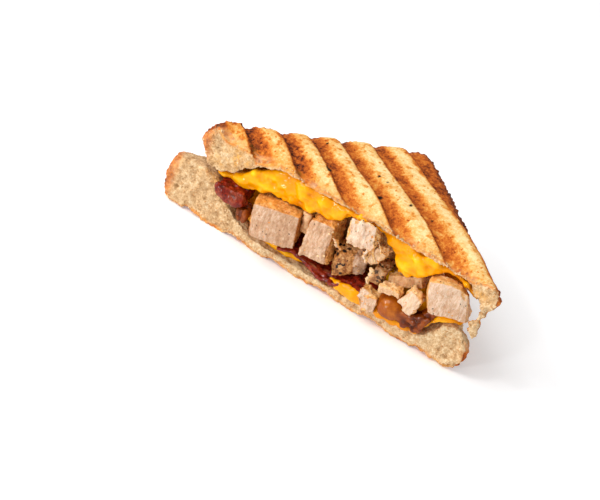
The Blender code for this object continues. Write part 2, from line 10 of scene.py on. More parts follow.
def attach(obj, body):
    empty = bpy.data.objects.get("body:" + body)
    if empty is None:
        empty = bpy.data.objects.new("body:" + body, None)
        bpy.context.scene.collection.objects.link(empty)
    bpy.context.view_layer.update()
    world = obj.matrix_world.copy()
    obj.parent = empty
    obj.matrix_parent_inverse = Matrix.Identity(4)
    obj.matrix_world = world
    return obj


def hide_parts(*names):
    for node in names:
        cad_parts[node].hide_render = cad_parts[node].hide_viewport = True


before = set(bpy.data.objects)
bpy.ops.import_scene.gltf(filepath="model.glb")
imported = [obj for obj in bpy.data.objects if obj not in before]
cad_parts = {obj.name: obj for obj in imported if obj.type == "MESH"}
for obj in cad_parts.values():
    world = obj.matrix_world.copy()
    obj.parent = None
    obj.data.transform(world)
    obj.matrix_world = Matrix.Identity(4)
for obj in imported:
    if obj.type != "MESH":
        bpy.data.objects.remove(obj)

# Shape numbers are millimetres from the middle of the cut on the table; meshes are made in metres.
mm = 0.001
weldReach = 1e-6
cutMiddle = np.array([10.0, -19.0, 0.0])   # that place, seen from the rest point
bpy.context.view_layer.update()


# colours are written as the screen shows them
def tone(code):
    channels = [int(code[i:i + 2], 16) / 255 for i in (0, 2, 4)]
    linear = [c / 12.92 if c <= 0.04045 else ((c + 0.055) / 1.055) ** 2.4 for c in channels]
    return (*linear, 1.0)


# noise on arrays of points, each with its own seed
noise = {"steps": (374761393, 668265263, 1440662683, 974634777), "mix": 1274126177, "full": 0xFFFFFF,
         "softShift": 17.13, "holeShift": 3.7, "holeSeeds": (11, 23, 37), "octaveShift": 5,
         "fractalScale": 1.5, "farAway": 9.0}


def lattice(ix, iy, iz, seed):
    a, b, c, d = noise["steps"]
    n = ix * a + iy * b + iz * c + seed * d
    n = (n ^ (n >> 13)) * noise["mix"]
    n = n ^ (n >> 16)
    return (n & noise["full"]) / noise["full"]


def softNoise(points, size, seed):
    p = points / size + seed * noise["softShift"]
    base = np.floor(p).astype(np.int64)
    f = p - base
    f = f * f * (3 - 2 * f)
    total = np.zeros(len(points))
    for corner in itertools.product((0, 1), repeat=3):
        w = np.where(corner, f, 1 - f)
        total += w[:, 0] * w[:, 1] * w[:, 2] * lattice(*(base + corner).T, seed)
    return total * 2 - 1


def fractal(points, size, seed, octaves=3):
    total = np.zeros(len(points))
    for k in range(octaves):
        total += softNoise(points, size / 2 ** k, seed + k * noise["octaveShift"]) / 2 ** k
    return total / noise["fractalScale"]


def holeDistance(points, size, seed):   # to the nearest of the scattered centres, in cells
    p = points / size + seed * noise["holeShift"]
    base = np.floor(p).astype(np.int64)
    nearest = np.full(len(points), noise["farAway"])
    for step in itertools.product((-1, 0, 1), repeat=3):
        cell = base + step
        centre = cell + np.stack([lattice(*cell.T, seed + s) for s in noise["holeSeeds"]], axis=1)
        nearest = np.minimum(nearest, np.linalg.norm(p - centre, axis=1))
    return nearest


def ease(low, high, value):
    t = np.clip((value - low) / (high - low), 0.0, 1.0)
    return t * t * (3 - 2 * t)


# a layer of noise: how strong, how large and its seed
def layer(points, strength, size, seed):
    return strength * fractal(points, size, seed)


# round pits: how deep, how large, their seed, and where their wall starts and ends in cells
def pits(points, depth, size, seed, rim, floor):
    return depth * ease(rim, floor, holeDistance(points, size, seed))


# a straight line through two numbers: its level at zero and its slope
def straight(line, value):
    return line[0] + line[1] * value


def easedKeys(keys, x):
    keys = np.array(keys, dtype=float)
    i = np.clip(np.searchsorted(keys[:, 0], x) - 1, 0, len(keys) - 2)
    share = ease(keys[i, 0], keys[i + 1, 0], x)
    return keys[i, 1] + (keys[i + 1, 1] - keys[i, 1]) * share


# meshes in and out of arrays
def meshPoints(mesh):
    points = np.empty(len(mesh.vertices) * 3)
    mesh.vertices.foreach_get("co", points)
    return points.reshape(-1, 3)


def meshNormals(mesh):
    normals = np.empty(len(mesh.vertices) * 3)
    mesh.vertices.foreach_get("normal", normals)
    return normals.reshape(-1, 3)


def workPoints(obj):
    return meshPoints(obj.data) / mm - cutMiddle


def placePoints(obj, points):
    obj.data.vertices.foreach_set("co", ((points + cutMiddle) * mm).ravel())
    obj.data.update()


def paint(obj, name, values):
    layer = obj.data.attributes.new(name, "FLOAT", "POINT")
    layer.data.foreach_set("value", np.clip(values, 0.0, 1.0).astype(np.float32))


def newObject(name, mesh, material):
    mesh.name = name
    obj = bpy.data.objects.new(name, mesh)
    bpy.context.collection.objects.link(obj)
    obj.data.materials.clear()
    obj.data.materials.append(material)
    return obj


def applied(obj):
    evaluated = obj.evaluated_get(bpy.context.evaluated_depsgraph_get())
    mesh = bpy.data.meshes.new_from_object(evaluated)
    obj.modifiers.clear()
    obj.data = mesh


def skinned(obj, voxel, smoothing):
    remesh = obj.modifiers.new("skin", "REMESH")
    remesh.mode = "VOXEL"
    remesh.voxel_size = voxel * mm
    remesh.use_smooth_shade = True
    obj.modifiers.new("soften", "SMOOTH").iterations = smoothing
    applied(obj)
    obj.data.shade_smooth()
    return obj


def surface(obj):
    return workPoints(obj), meshNormals(obj.data)


def raised(obj, points, normals, lift):
    placePoints(obj, points + normals * lift[:, None])


# a copy of CAD nodes, their loose triangles joined into one skin
def copyOf(name, material, *nodes):
    joined = bmesh.new()
    for node in nodes:
        joined.from_mesh(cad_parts[node].data)
    bmesh.ops.remove_doubles(joined, verts=joined.verts, dist=weldReach)
    mesh = bpy.data.meshes.new(name)
    joined.to_mesh(mesh)
    joined.free()
    return newObject(name, mesh, material)


# each piece rides the root body and hides the solids it stands in for
def dressed(piece, slot, *nodes):
    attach(piece, "root")
    if nodes:
        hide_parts(*nodes)
    return piece


print("helpers ready")


# shader groups and node helpers
def nodeMaker(tree):
    def make(kind, links=None, **settings):
        node = tree.nodes.new(kind)
        for key, value in settings.items():
            setattr(node, key, value)
        for socket, value in (links or {}).items():
            if isinstance(value, bpy.types.NodeSocket):
                tree.links.new(value, node.inputs[socket])
            else:
                node.inputs[socket].default_value = value
        return node
    return make


def ramp(make, source, stops):
    node = make("ShaderNodeValToRGB", {"Fac": source})
    elements = node.color_ramp.elements
    while len(elements) > 1:
        elements.remove(elements[-1])
    elements[0].position, elements[0].color = stops[0][0], tone(stops[0][1])
    for place, code in stops[1:]:
        elements.new(place).color = tone(code)
    return node.outputs["Color"]


def blend(make, factor, first, second):
    return make("ShaderNodeMix", {0: factor, 6: first, 7: second}, data_type="RGBA").outputs[2]


def calc(make, operation, first, second, third=0.0, clamp=False):
    links = {0: first, 1: second, 2: third}
    return make("ShaderNodeMath", links, operation=operation, use_clamp=clamp).outputs[0]


def scaled(make, value, amount, added=0.0, clamp=False):
    return calc(make, "MULTIPLY_ADD", value, amount, added, clamp)


def attribute(make, name):
    return make("ShaderNodeAttribute", attribute_name=name, attribute_type="GEOMETRY").outputs["Fac"]


def newGroup(name, inputs, outputs):
    group = bpy.data.node_groups.new(name, "ShaderNodeTree")
    for label, kind, default in inputs:
        socket = group.interface.new_socket(label, in_out="INPUT", socket_type=kind)
        socket.default_value = default
    for label, kind in outputs:
        group.interface.new_socket(label, in_out="OUTPUT", socket_type=kind)
    return group, group.nodes.new("NodeGroupInput"), group.nodes.new("NodeGroupOutput")


# crumbGrain: fine height and light-dark grain in object space
grainMix = {"coarse": 0.6, "fine": 0.4, "coarseDetail": 3.0, "coarseRoughness": 0.6, "fineDetail": 2.0,
            "darkAt": 0.36, "lightAt": 0.64}


def crumbGrainGroup():
    group, entry, exit_ = newGroup("crumbGrain",
                                   [("Coarse Scale", "NodeSocketFloat", 900.0),
                                    ("Fine Scale", "NodeSocketFloat", 2600.0),
                                    ("Stretch", "NodeSocketVector", (1.0, 1.0, 1.0))],
                                   [("Height", "NodeSocketFloat"), ("Grain", "NodeSocketFloat")])
    make = nodeMaker(group)
    place = make("ShaderNodeTexCoord").outputs["Object"]
    place = make("ShaderNodeVectorMath", {0: place, 1: entry.outputs["Stretch"]},
                 operation="MULTIPLY").outputs["Vector"]
    coarse = make("ShaderNodeTexNoise", {"Vector": place, "Scale": entry.outputs["Coarse Scale"],
                                         "Detail": grainMix["coarseDetail"],
                                         "Roughness": grainMix["coarseRoughness"]}).outputs["Fac"]
    fine = make("ShaderNodeTexNoise", {"Vector": place, "Scale": entry.outputs["Fine Scale"],
                                       "Detail": grainMix["fineDetail"]}).outputs["Fac"]
    height = scaled(make, fine, grainMix["fine"], scaled(make, coarse, grainMix["coarse"]))
    group.links.new(height, exit_.inputs["Height"])
    grain = make("ShaderNodeMapRange", {"Value": height, "From Min": grainMix["darkAt"],
                                        "From Max": grainMix["lightAt"]})
    group.links.new(grain.outputs["Result"], exit_.inputs["Grain"])
    return group


# speckle: small scattered spots in object space
speckleBend = {"scale": 700.0, "reach": (0.0016, 0.0016, 0.0016)}


def speckleGroup():
    group, entry, exit_ = newGroup("speckle",
                                   [("Scale", "NodeSocketFloat", 400.0),
                                    ("Spot Size", "NodeSocketFloat", 0.2),
                                    ("Share", "NodeSocketFloat", 0.3)],
                                   [("Mask", "NodeSocketFloat")])
    make = nodeMaker(group)
    place = make("ShaderNodeTexCoord").outputs["Object"]
    bend = make("ShaderNodeTexNoise", {"Vector": place, "Scale": speckleBend["scale"]}).outputs["Color"]
    place = make("ShaderNodeVectorMath", {0: bend, 1: speckleBend["reach"], 2: place},
                 operation="MULTIPLY_ADD").outputs["Vector"]
    cells = make("ShaderNodeTexVoronoi", {"Vector": place, "Scale": entry.outputs["Scale"]})
    near = calc(make, "LESS_THAN", cells.outputs["Distance"], entry.outputs["Spot Size"])
    pick = make("ShaderNodeSeparateColor", {"Color": cells.outputs["Color"]}).outputs[0]
    chosen = calc(make, "LESS_THAN", pick, entry.outputs["Share"])
    group.links.new(scaled(make, near, chosen), exit_.inputs["Mask"])
    return group


crumbGrain = crumbGrainGroup()
speckle = speckleGroup()


def grained(make, coarse, fine, **more):
    return make("ShaderNodeGroup", {"Coarse Scale": coarse, "Fine Scale": fine, **more},
                node_tree=crumbGrain).outputs


def spots(make, scale, size, share):
    return make("ShaderNodeGroup", {"Scale": scale, "Spot Size": size, "Share": share},
                node_tree=speckle).outputs["Mask"]


def newMaterial(name, roughness, **sockets):
    material = bpy.data.materials.new(name)
    material.use_nodes = True
    tree = material.node_tree
    shader = tree.nodes["Principled BSDF"]
    shader.inputs["Roughness"].default_value = roughness
    for label, value in sockets.items():
        shader.inputs[label.replace("_", " ")].default_value = value
    return material, nodeMaker(tree), shader


def finish(material, shader, colour, height, strength, distance):
    tree = material.node_tree
    bump = nodeMaker(tree)("ShaderNodeBump", {"Strength": strength, "Distance": distance * mm,
                                              "Height": height})
    tree.links.new(colour, shader.inputs["Base Color"])
    tree.links.new(bump.outputs["Normal"], shader.inputs["Normal"])
    return material


# grain over the painted shade, under a clear wet coat
def wetMaterial(name, look):
    material, make, shader = newMaterial(name, look["roughness"], Specular_IOR_Level=0.0,
                                         Coat_Weight=look["coat"][0], Coat_Roughness=look["coat"][1])
    grain = grained(make, *look["grain"])
    level = scaled(make, attribute(make, "shade"), look["shadeAmount"])
    level = scaled(make, grain["Grain"], look["grainAmount"], level, clamp=True)
    colour = ramp(make, level, look["stops"])
    if "fat" in look:
        colour = blend(make, attribute(make, "fat"), colour, ramp(make, level, look["fat"]))
    return finish(material, shader, colour, grain["Height"], *look["bump"])


def dryMaterial(name, look):
    material, make, shader = newMaterial(name, look["roughness"])
    grain = grained(make, *look["grain"])
    return finish(material, shader, ramp(make, grain["Grain"], look["stops"]), grain["Height"], *look["bump"])


breadLook = {
    "toast": [(0.0, "F8D89C"), (0.08, "EEC07A"), (0.18, "E2A454"), (0.29, "D88632"), (0.41, "CA6C22"),
              (0.54, "B65818"), (0.67, "984612"), (0.80, "783310"), (0.91, "50200D"), (1.0, "2A1207")],
    "crumb": [(0.0, "8C683F"), (0.26, "B89064"), (0.55, "D8B588"), (0.80, "ECD4AC"), (1.0, "FAEACC")],
    "stain": "F0A51E", "burnt": "1E120B", "roughness": 0.82, "specular": 0.16, "bump": (0.5, 0.5),
    "grain": (750.0, 2300.0), "blotch": (300.0, 1100.0), "soft": (400.0, 1250.0),
    "flecks": (520.0, 0.30, 0.16), "grainAmount": 0.66, "blotchAmount": 0.46, "fleckAmount": 0.24,
    "shiftAt": (0.16, 0.75), "pitShadeDepth": -0.27, "crumbLevel": 0.20, "softAmount": 0.52, "fineAmount": 0.22,
}


def breadMaterial():
    look = breadLook
    material, make, shader = newMaterial("toastedBread", look["roughness"],
                                         Specular_IOR_Level=look["specular"])
    grain = grained(make, *look["grain"])
    toast = attribute(make, "toast")
    both = look["grainAmount"] + look["blotchAmount"]
    shift = scaled(make, grain["Grain"], look["grainAmount"], -0.5 * both)
    shift = scaled(make, grained(make, *look["blotch"])["Grain"], look["blotchAmount"], shift)
    strength = scaled(make, toast, look["shiftAt"][1], look["shiftAt"][0])
    toasted = scaled(make, shift, strength, toast)
    toasted = scaled(make, spots(make, *look["flecks"]), look["fleckAmount"], toasted, clamp=True)
    # painted shade lowers the crumb level in its holes and over its left end
    light = scaled(make, attribute(make, "pitShade"), look["pitShadeDepth"], look["crumbLevel"])
    light = scaled(make, grained(make, *look["soft"])["Grain"], look["softAmount"], light)
    light = scaled(make, grain["Grain"], look["fineAmount"], light, clamp=True)
    openCrumb = attribute(make, "crumb")
    colour = blend(make, openCrumb, ramp(make, toasted, look["toast"]), ramp(make, light, look["crumb"]))
    stain = scaled(make, attribute(make, "stain"), grain["Grain"], clamp=True)
    colour = blend(make, stain, colour, tone(look["stain"]))
    colour = blend(make, attribute(make, "char"), colour, tone(look["burnt"]))
    height = scaled(make, grain["Height"], openCrumb, grain["Height"])
    return finish(material, shader, colour, height, *look["bump"])


# the bread slices, each a half slice cut corner to corner
bread = {
    "topHalfCut": 77.5, "topDepth": 77.0, "bottomLeft": 95.0, "bottomRight": 75.0, "bottomDepth": 75.0,
    "cornerX": 3.0, "bottomShift": -6.0, "tipRound": 3.0, "leftTipRound": 3.9, "cornerRound": 9.0,
    "level": 53.0, "cutDroop": 4.6, "droopReach": 9.0, "crustDrop": 5.0, "crustReach": 9.0,
    "bulge": 2.2, "tipBulge": 3.6, "pressed": 5.0, "rim": 23.0, "roof": 45.5, "rimThickening": 13.5,
    "ridgeAngle": math.radians(-37), "grooveDepth": 2.7, "wander": (0.7, 17.0, 4), "arcSteps": 9,
    "ridgeStarts": [-75.2, -60.6, -46.0, -31.4, -16.9, -2.6, 12.4, 28.8, 46.6, 64.0],
    "crustBlend": 10.0, "fullDrop": (-70, -48), "leastDrop": 0.2,
    "droopRight": (62, 72, 0.6), "droopLeft": (-40, -50, 3.0, 5.0), "droopTip": (-65, -73, 0.8),
    "rimReach": (19, 4), "cutReach": (4, 18), "lowRimReach": (22, 11), "lowCutReach": (3, 16),
    "lowDrop": 0.7, "underGroove": (0.7, 0.1), "underDrop": 0.6,
    "voxel": 0.54, "smoothing": 6, "hanging": [((70.0, 3.5, 40.5), (71.5, -1.5, 22.5), 2.1, 1.1)],
    "burnt": [(-20.6, 12.6, 1.5), (5.2, 14.9, 1.2), (18.6, 18.6, 0.7), (-2.0, 27.6, 0.6), (3.1, 25.8, 0.45),
              (-31.0, 30.0, 0.5), (30.0, 20.0, 0.4), (-8.0, 44.0, 0.5)],
    "tipX": {"topSlice": (-70, 74), "bottomSlice": (-82, 70)},
    "stains": {"topSlice": [(-58, 39, 7, 5, 0.9), (-66, 34, 5, 4, 0.5), (-30, 46, 22, 3, 0.5),
                            (66, 42, 5, 3, 0.8)],
               "bottomSlice": [(-62, 24, 9, 4, 0.9), (-52, 17, 5, 5, 0.6), (52, 17, 6, 3, 0.5)]},
}
toastShares = [0.0, 0.03, 0.08, 0.15, 0.22, 0.30, 0.37, 0.44, 0.50, 0.58, 0.70, 0.85, 0.93, 0.98, 1.0]
toastBars = [0.78, 0.82, 0.68, 0.60, 0.55, 0.50, 0.46, 0.36, 0.20, 0.09, 0.04, 0.06, 0.08, 0.42, 0.78]
grooveShares = [0.0, 0.09, 0.30, 0.60, 0.80, 1.0]
grooveDepths = [0.0, 1.0, 0.85, 0.1, 0.0, 0.0]
topUnderside = [(-77, 36), (-72, 29), (-66, 28), (-59, 31), (-52, 37), (-45, 42),
                (-38, 45.5), (5, 46), (60, 45.5), (65, 40), (72, 36), (77, 38)]
bottomTop = [(-93, 17), (-86, 25), (-75, 26), (-65, 23.5), (-58, 16), (-48, 10),
             (-40, 5.5), (0, 5), (20, 5.6), (40, 7), (49, 8), (54.5, 13), (58, 20), (64, 22.5), (74, 18)]
acrossRidge = np.array([-math.sin(bread["ridgeAngle"]), math.cos(bread["ridgeAngle"])])


def roundedOutline(corners, radii):
    arcSteps = bread["arcSteps"]
    points = []
    for i, corner in enumerate(corners):
        before = corners[i - 1] - corner
        after = corners[(i + 1) % 3] - corner
        before = before / np.linalg.norm(before)
        after = after / np.linalg.norm(after)
        half = math.acos(before @ after) / 2
        middle = (before + after) / np.linalg.norm(before + after)
        centre = corner + middle * radii[i] / math.sin(half)
        start = corner + before * radii[i] / math.tan(half) - centre
        sweep = math.pi - 2 * half
        for k in range(arcSteps + 1):
            c, s = math.cos(sweep * k / arcSteps), math.sin(sweep * k / arcSteps)
            points.append(centre + np.array([c * start[0] - s * start[1], s * start[0] + c * start[1]]))
    return np.array(points)


def crustDistance(x, y, corners):
    sides = []
    for start, end in ((corners[1], corners[2]), (corners[2], corners[0])):
        run = (end - start) / np.linalg.norm(end - start)
        sides.append(run[0] * (y - start[1]) - run[1] * (x - start[0]))
    soft = bread["crustBlend"]
    meet = np.maximum(soft - np.abs(sides[0] - sides[1]), 0.0) / soft
    return np.minimum(sides[0], sides[1]) - meet * meet * soft * 0.25


def ridgeShare(x, y):
    place = acrossRidge[0] * x + acrossRidge[1] * y
    flat = np.stack([x, y, 0 * x], axis=1)
    strength, size, seed = bread["wander"]
    wander = strength * softNoise(flat, size, seed)
    starts = bread["ridgeStarts"]
    return np.interp(place + wander, starts, np.arange(len(starts))) % 1.0


def grooveDepth(x, y):
    return np.interp(ridgeShare(x, y), grooveShares, grooveDepths)


def crustDrop(x, inside):
    short = np.clip(1 - inside / bread["crustReach"], 0.0, 1.2)
    share = bread["leastDrop"] + (1 - bread["leastDrop"]) * ease(*bread["fullDrop"], x)
    return bread["crustDrop"] * short * short * share


# a closed slab between two height functions
slab = {"rowStep": 1.4, "topGap": 0.15, "columns": 112, "leastThick": 0.6, "sideSteps": 12, "cutBand": 1.2,
        "tipX": (-60, -70), "tipY": (0, 3)}


def slabMesh(name, corners, radii, top, bottom, tipBulge):
    outline = roundedOutline(corners, radii)
    lowLeft = bread["arcSteps"]
    peak = int(np.argmax(outline[:, 1]))
    left = np.vstack([outline[lowLeft::-1], outline[:peak - 1:-1]])
    right = outline[lowLeft + 1:peak + 1]
    rows, columns = int(corners[2][1] / slab["rowStep"]), slab["columns"]
    levels = np.linspace(0.0, outline[peak, 1] - slab["topGap"], rows)
    share = np.linspace(0.0, 1.0, columns)
    xLeft = np.interp(levels, left[:, 1], left[:, 0])
    xRight = np.interp(levels, right[:, 1], right[:, 0])
    x = xLeft[:, None] + (xRight - xLeft)[:, None] * share
    y = np.repeat(levels[:, None], columns, axis=1)
    x, y = x.ravel(), y.ravel()
    zLow = bottom(x, y)
    zHigh = np.maximum(top(x, y), zLow + slab["leastThick"])
    count = len(x)
    points = [np.stack([x, y, zLow], axis=1), np.stack([x, y, zHigh], axis=1)]
    index = np.arange(count).reshape(rows, columns)
    faces = []
    low, right_, up, diagonal = index[:-1, :-1], index[:-1, 1:], index[1:, :-1], index[1:, 1:]
    faces.append(np.stack([low, up, diagonal, right_], axis=-1).reshape(-1, 4))
    faces.append(np.stack([low, right_, diagonal, up], axis=-1).reshape(-1, 4) + count)
    ring = np.concatenate([index[0, :-1], index[:-1, -1], index[-1, :0:-1], index[:0:-1, 0]])
    run = np.roll(points[0][ring], -1, axis=0) - np.roll(points[0][ring], 1, axis=0)
    out = np.stack([run[:, 1], -run[:, 0], 0 * run[:, 0]], axis=1)
    out /= np.linalg.norm(out, axis=1)[:, None]
    rings = [ring]
    start = points[0][ring]
    tip = ease(*slab["tipX"], start[:, 0]) * ease(*slab["tipY"], start[:, 1])
    bulge = np.where(start[:, 1] < slab["cutBand"], 0.0, bread["bulge"]) + tipBulge * tip
    for k in range(1, slab["sideSteps"]):
        t = k / slab["sideSteps"]
        stand = bulge * math.sin(math.pi * t)
        level = points[0][ring] * (1 - t) + points[1][ring] * t + out * stand[:, None]
        rings.append(np.arange(len(ring)) + sum(len(p) for p in points))
        points.append(level)
    rings.append(ring + count)
    for lower, upper in zip(rings, rings[1:]):
        faces.append(np.stack([lower, np.roll(lower, -1), np.roll(upper, -1), upper], axis=1))
    points = (np.vstack(points) + cutMiddle) * mm
    mesh = bpy.data.meshes.new(name)
    mesh.from_pydata(points.tolist(), [], np.vstack(faces).tolist())
    mesh.update()
    return mesh


def sliceCorners(left, right, depth, shift=0.0):
    return [np.array([-left, 0.0]), np.array([right, 0.0]), np.array([bread["cornerX"] + shift, depth])]


topCorners = sliceCorners(bread["topHalfCut"], bread["topHalfCut"], bread["topDepth"])
bottomCorners = sliceCorners(bread["bottomLeft"], bread["bottomRight"], bread["bottomDepth"],
                             bread["bottomShift"])


def topSliceTop(x, y):
    start, end, share = bread["droopRight"]
    droop = bread["cutDroop"] * np.exp(-(y / bread["droopReach"]) ** 2) * (1 - share * ease(start, end, x))
    start, end, more, reach = bread["droopLeft"]
    droop = droop + more * ease(start, end, x) * np.exp(-(y / reach) ** 2)
    start, end, share = bread["droopTip"]
    droop = droop * (1 - share * ease(start, end, x))
    relief = bread["grooveDepth"] * grooveDepth(x, y)
    return bread["level"] - droop - relief - crustDrop(x, crustDistance(x, y, topCorners))


def topSliceBottom(x, y):
    inside = crustDistance(x, y, topCorners)
    deep = bread["roof"] - bread["rimThickening"] * ease(*bread["rimReach"], inside)
    atCut = easedKeys(topUnderside, x)
    return atCut + (deep - atCut) * ease(*bread["cutReach"], y)


def bottomSliceTop(x, y):
    inside = crustDistance(x, y, bottomCorners)
    deep = bread["pressed"] + (bread["rim"] - bread["pressed"]) * ease(*bread["lowRimReach"], inside)
    atCut = easedKeys(bottomTop, x)
    return atCut + (deep - atCut) * ease(*bread["lowCutReach"], y) - crustDrop(x, inside) * bread["lowDrop"]


def bottomSliceBottom(x, y):
    share, least = bread["underGroove"]
    pressed = bread["grooveDepth"] * share * np.maximum(grooveDepth(x, y) - least, 0.0)
    return pressed + crustDrop(x, crustDistance(x, y, bottomCorners)) * bread["underDrop"]


# how brown each place is, from the grill bars, the crust and the cut
toasting = {
    "patchy": (9.0, 12), "fine": (2.4, 15), "streaks": (2.2, 19), "streakStretch": (0.45, 0.6),
    "patchyLine": (1.0, 0.22), "fineLine": (0.06, 0.16), "streakLine": (0.03, 0.07),
    "pale": (3.4, 22), "paleBand": (0.10, 0.42), "paleLine": (1, -0.34), "browned": (2.0, 24),
    "brownedStretch": (1.0, 1.0, 0.5), "brownedBand": (0.20, 0.45), "brownedGain": 0.20,
    "left": (0, -60), "leftLine": (1, 0.30), "leftGain": 0.09, "back": (20, 60), "backLine": (0.92, 0.24),
    "cut": (8.0, 0.5), "cutWander": (2.5, 6.0, 18), "cutLine": (1, -0.38), "cutGain": 0.10,
    "edge": (6.0, 0.0), "edgeWander": 1.5, "edgeBand": (0.10, 0.45), "edgeLine": (0.08, 0.18),
    "farRight": (43.0, 47.5), "crustWander": 1.2, "farLine": (0.52, 0.18), "farFine": 0.14,
    "rightCrust": (0, 25), "rightEdge": (5.5, 1.5), "rightGain": 0.30, "darkest": 0.80,
}


def toastValue(points, corners):
    look = toasting
    x, y, z = points.T
    bars = np.interp(ridgeShare(x, y), toastShares, toastBars)
    patchy = fractal(points, *look["patchy"])
    fine = fractal(points, *look["fine"])
    across, along = acrossRidge[0] * x + acrossRidge[1] * y, acrossRidge[1] * x - acrossRidge[0] * y
    stretchAlong, stretchUp = look["streakStretch"]
    streaks = fractal(np.stack([across, along * stretchAlong, stretchUp * z], axis=1), *look["streaks"])
    bars = (bars * straight(look["patchyLine"], patchy) + straight(look["fineLine"], bars) * fine
            + straight(look["streakLine"], bars) * streaks)
    pale = ease(*look["paleBand"], fractal(points, *look["pale"]))
    stretched = points * np.array(look["brownedStretch"])
    browned = ease(*look["brownedBand"], fractal(stretched, *look["browned"]))
    bars = bars * straight(look["paleLine"], pale) + look["brownedGain"] * browned * (1 - bars)
    leftward = ease(*look["left"], x)
    bars = bars * straight(look["leftLine"], leftward) + look["leftGain"] * leftward
    bars = bars * straight(look["backLine"], ease(*look["back"], y))
    strength, size, seed = look["cutWander"]
    nearCut = ease(*look["cut"], y + strength * softNoise(points, size, seed))
    bars = bars * straight(look["cutLine"], nearCut) + look["cutGain"] * nearCut
    inside = crustDistance(x, y, corners)
    edge = ease(*look["edge"], inside + look["edgeWander"] * patchy)
    farRight = ease(*look["farRight"], across + look["crustWander"] * fine)
    bars = np.maximum(bars, farRight * (straight(look["farLine"], patchy) + look["farFine"] * fine))
    rightEdge = ease(*look["rightEdge"], inside + look["crustWander"] * patchy)
    bars = bars + look["rightGain"] * ease(*look["rightCrust"], x) * rightEdge * (1 - bars)
    browning = straight(look["edgeLine"], ease(*look["edgeBand"], bars))
    return np.clip(bars + edge * browning, 0.0, look["darkest"])


# torn strips that hang: where each starts and ends, how wide and how thick
strip = {"rings": 25, "sides": 12, "sway": (0.6, 7), "sag": -4.0, "wide": (0.38, 11), "narrow": (0.24, 23),
         "end": (0.85, 1.0), "endLoss": 0.4, "skew": 0.4}


def addStrips(obj, strips):
    joined = bmesh.new()
    joined.from_mesh(obj.data)
    for number, (start, end, wide, thick) in enumerate(strips):
        start, end = np.array(start), np.array(end)
        rings = []
        for t in np.linspace(0, 1, strip["rings"]):
            sway = strip["sway"][0] * math.sin(strip["sway"][1] * t + number)
            middle = start + (end - start) * t + np.array([sway, strip["sag"] * thick * t * (1 - t), 0.0])
            across = wide * (1 + strip["wide"][0] * math.sin(strip["wide"][1] * t + 2 * number)
                             + strip["narrow"][0] * math.sin(strip["narrow"][1] * t)
                             - strip["endLoss"] * ease(*strip["end"], t))
            ring = []
            for a in np.linspace(0, 2 * math.pi, strip["sides"], endpoint=False):
                side = across * math.cos(a)
                spot = middle + np.array([side, strip["skew"] * side + thick * math.sin(a), 0.0])
                ring.append(joined.verts.new((spot + cutMiddle) * mm))
            rings.append(ring)
        for lower, upper in zip(rings, rings[1:]):
            for k in range(strip["sides"]):
                joined.faces.new((lower[k], upper[k], upper[k - 1], lower[k - 1]))
        joined.faces.new(rings[0])
        joined.faces.new(reversed(rings[-1]))
    joined.to_mesh(obj.data)
    joined.free()


# relief in millimetres, then where the paint of each slice lies
breadRelief = {
    "onCut": (0.35, 0.8), "cutDeep": (4.0, 2.0), "facing": (0.15, 0.6),
    "bend": (0.5, 1.7), "bendSeeds": (3, 4, 5), "rim": (3.2, 0.4), "edge": (4.0, 0.0), "tear": (54, 66),
    "holes": [(0.8, 3.6, 3, 0.40, 0.20), (0.5, 1.9, 7, 0.50, 0.20), (0.3, 1.1, 9, 0.45, 0.15)],
    "holeDepth": 0.75, "crumb": (1.0, 3.6, 21), "crumbFine": (0.30, 1.2, 23),
    "crags": (1.0, 2.3, 29, 0.6, 0.1), "crust": (0.7, 5.0, 25), "crustFine": (0.5, 1.6, 27),
    "crustCrags": (-0.35, 0.6), "skin": (0.10, 1.3, 31), "waves": (7.0, 33), "waveHeight": 0.20,
    "skinPits": (0.28, 2.4, 35, 0.34, 0.12), "rimFine": (0.7, 2.0, 41), "rimWide": (0.8, 6.0, 42),
    "rimCrags": (-0.45, 0.5), "torn": (1.0, 4.5, 69), "tornPits": (1.6, 6.0, 67, 0.5, 0.15),
    "edgeRough": (0.7, 2.6, 43), "edgeCrags": (-0.3, 0.7), "overTable": 0.02,
}
breadPaint = {
    "tipFirst": (1.5, 4.0, 45), "tipLast": (1.5, 4.0, 46), "tipReach": (-5, 3),
    "side": (0.50, -0.12), "sideWide": (0.20, 6.0, 51), "sideFine": (0.14, 1.6, 53),
    "ragged": (2.0, 57), "raggedBand": (-0.1, 0.3), "openGain": 1.1, "rimGain": 0.45,
    "wrap": (2.4, 0.5), "wrapWander": (0.9, 2.6, 58), "wrapLoss": 0.85, "tipLoss": 0.75,
    # the two left entries on the next line paint shade over the crumb at the left end
    "cutLine": (0.26, 0.2), "cutWander": (0.2, 3.0, 59), "leftShadeReach": (-40, -60), "leftShadeDepth": 0.35,
    "burntStretch": 1.5, "burntWander": (0.5, 1.0, 63), "burntBand": (1.15, 0.75),
    "stainDeep": (6, 3), "stainWander": (3.0, 65), "stainBand": (-0.5, 0.3),
}


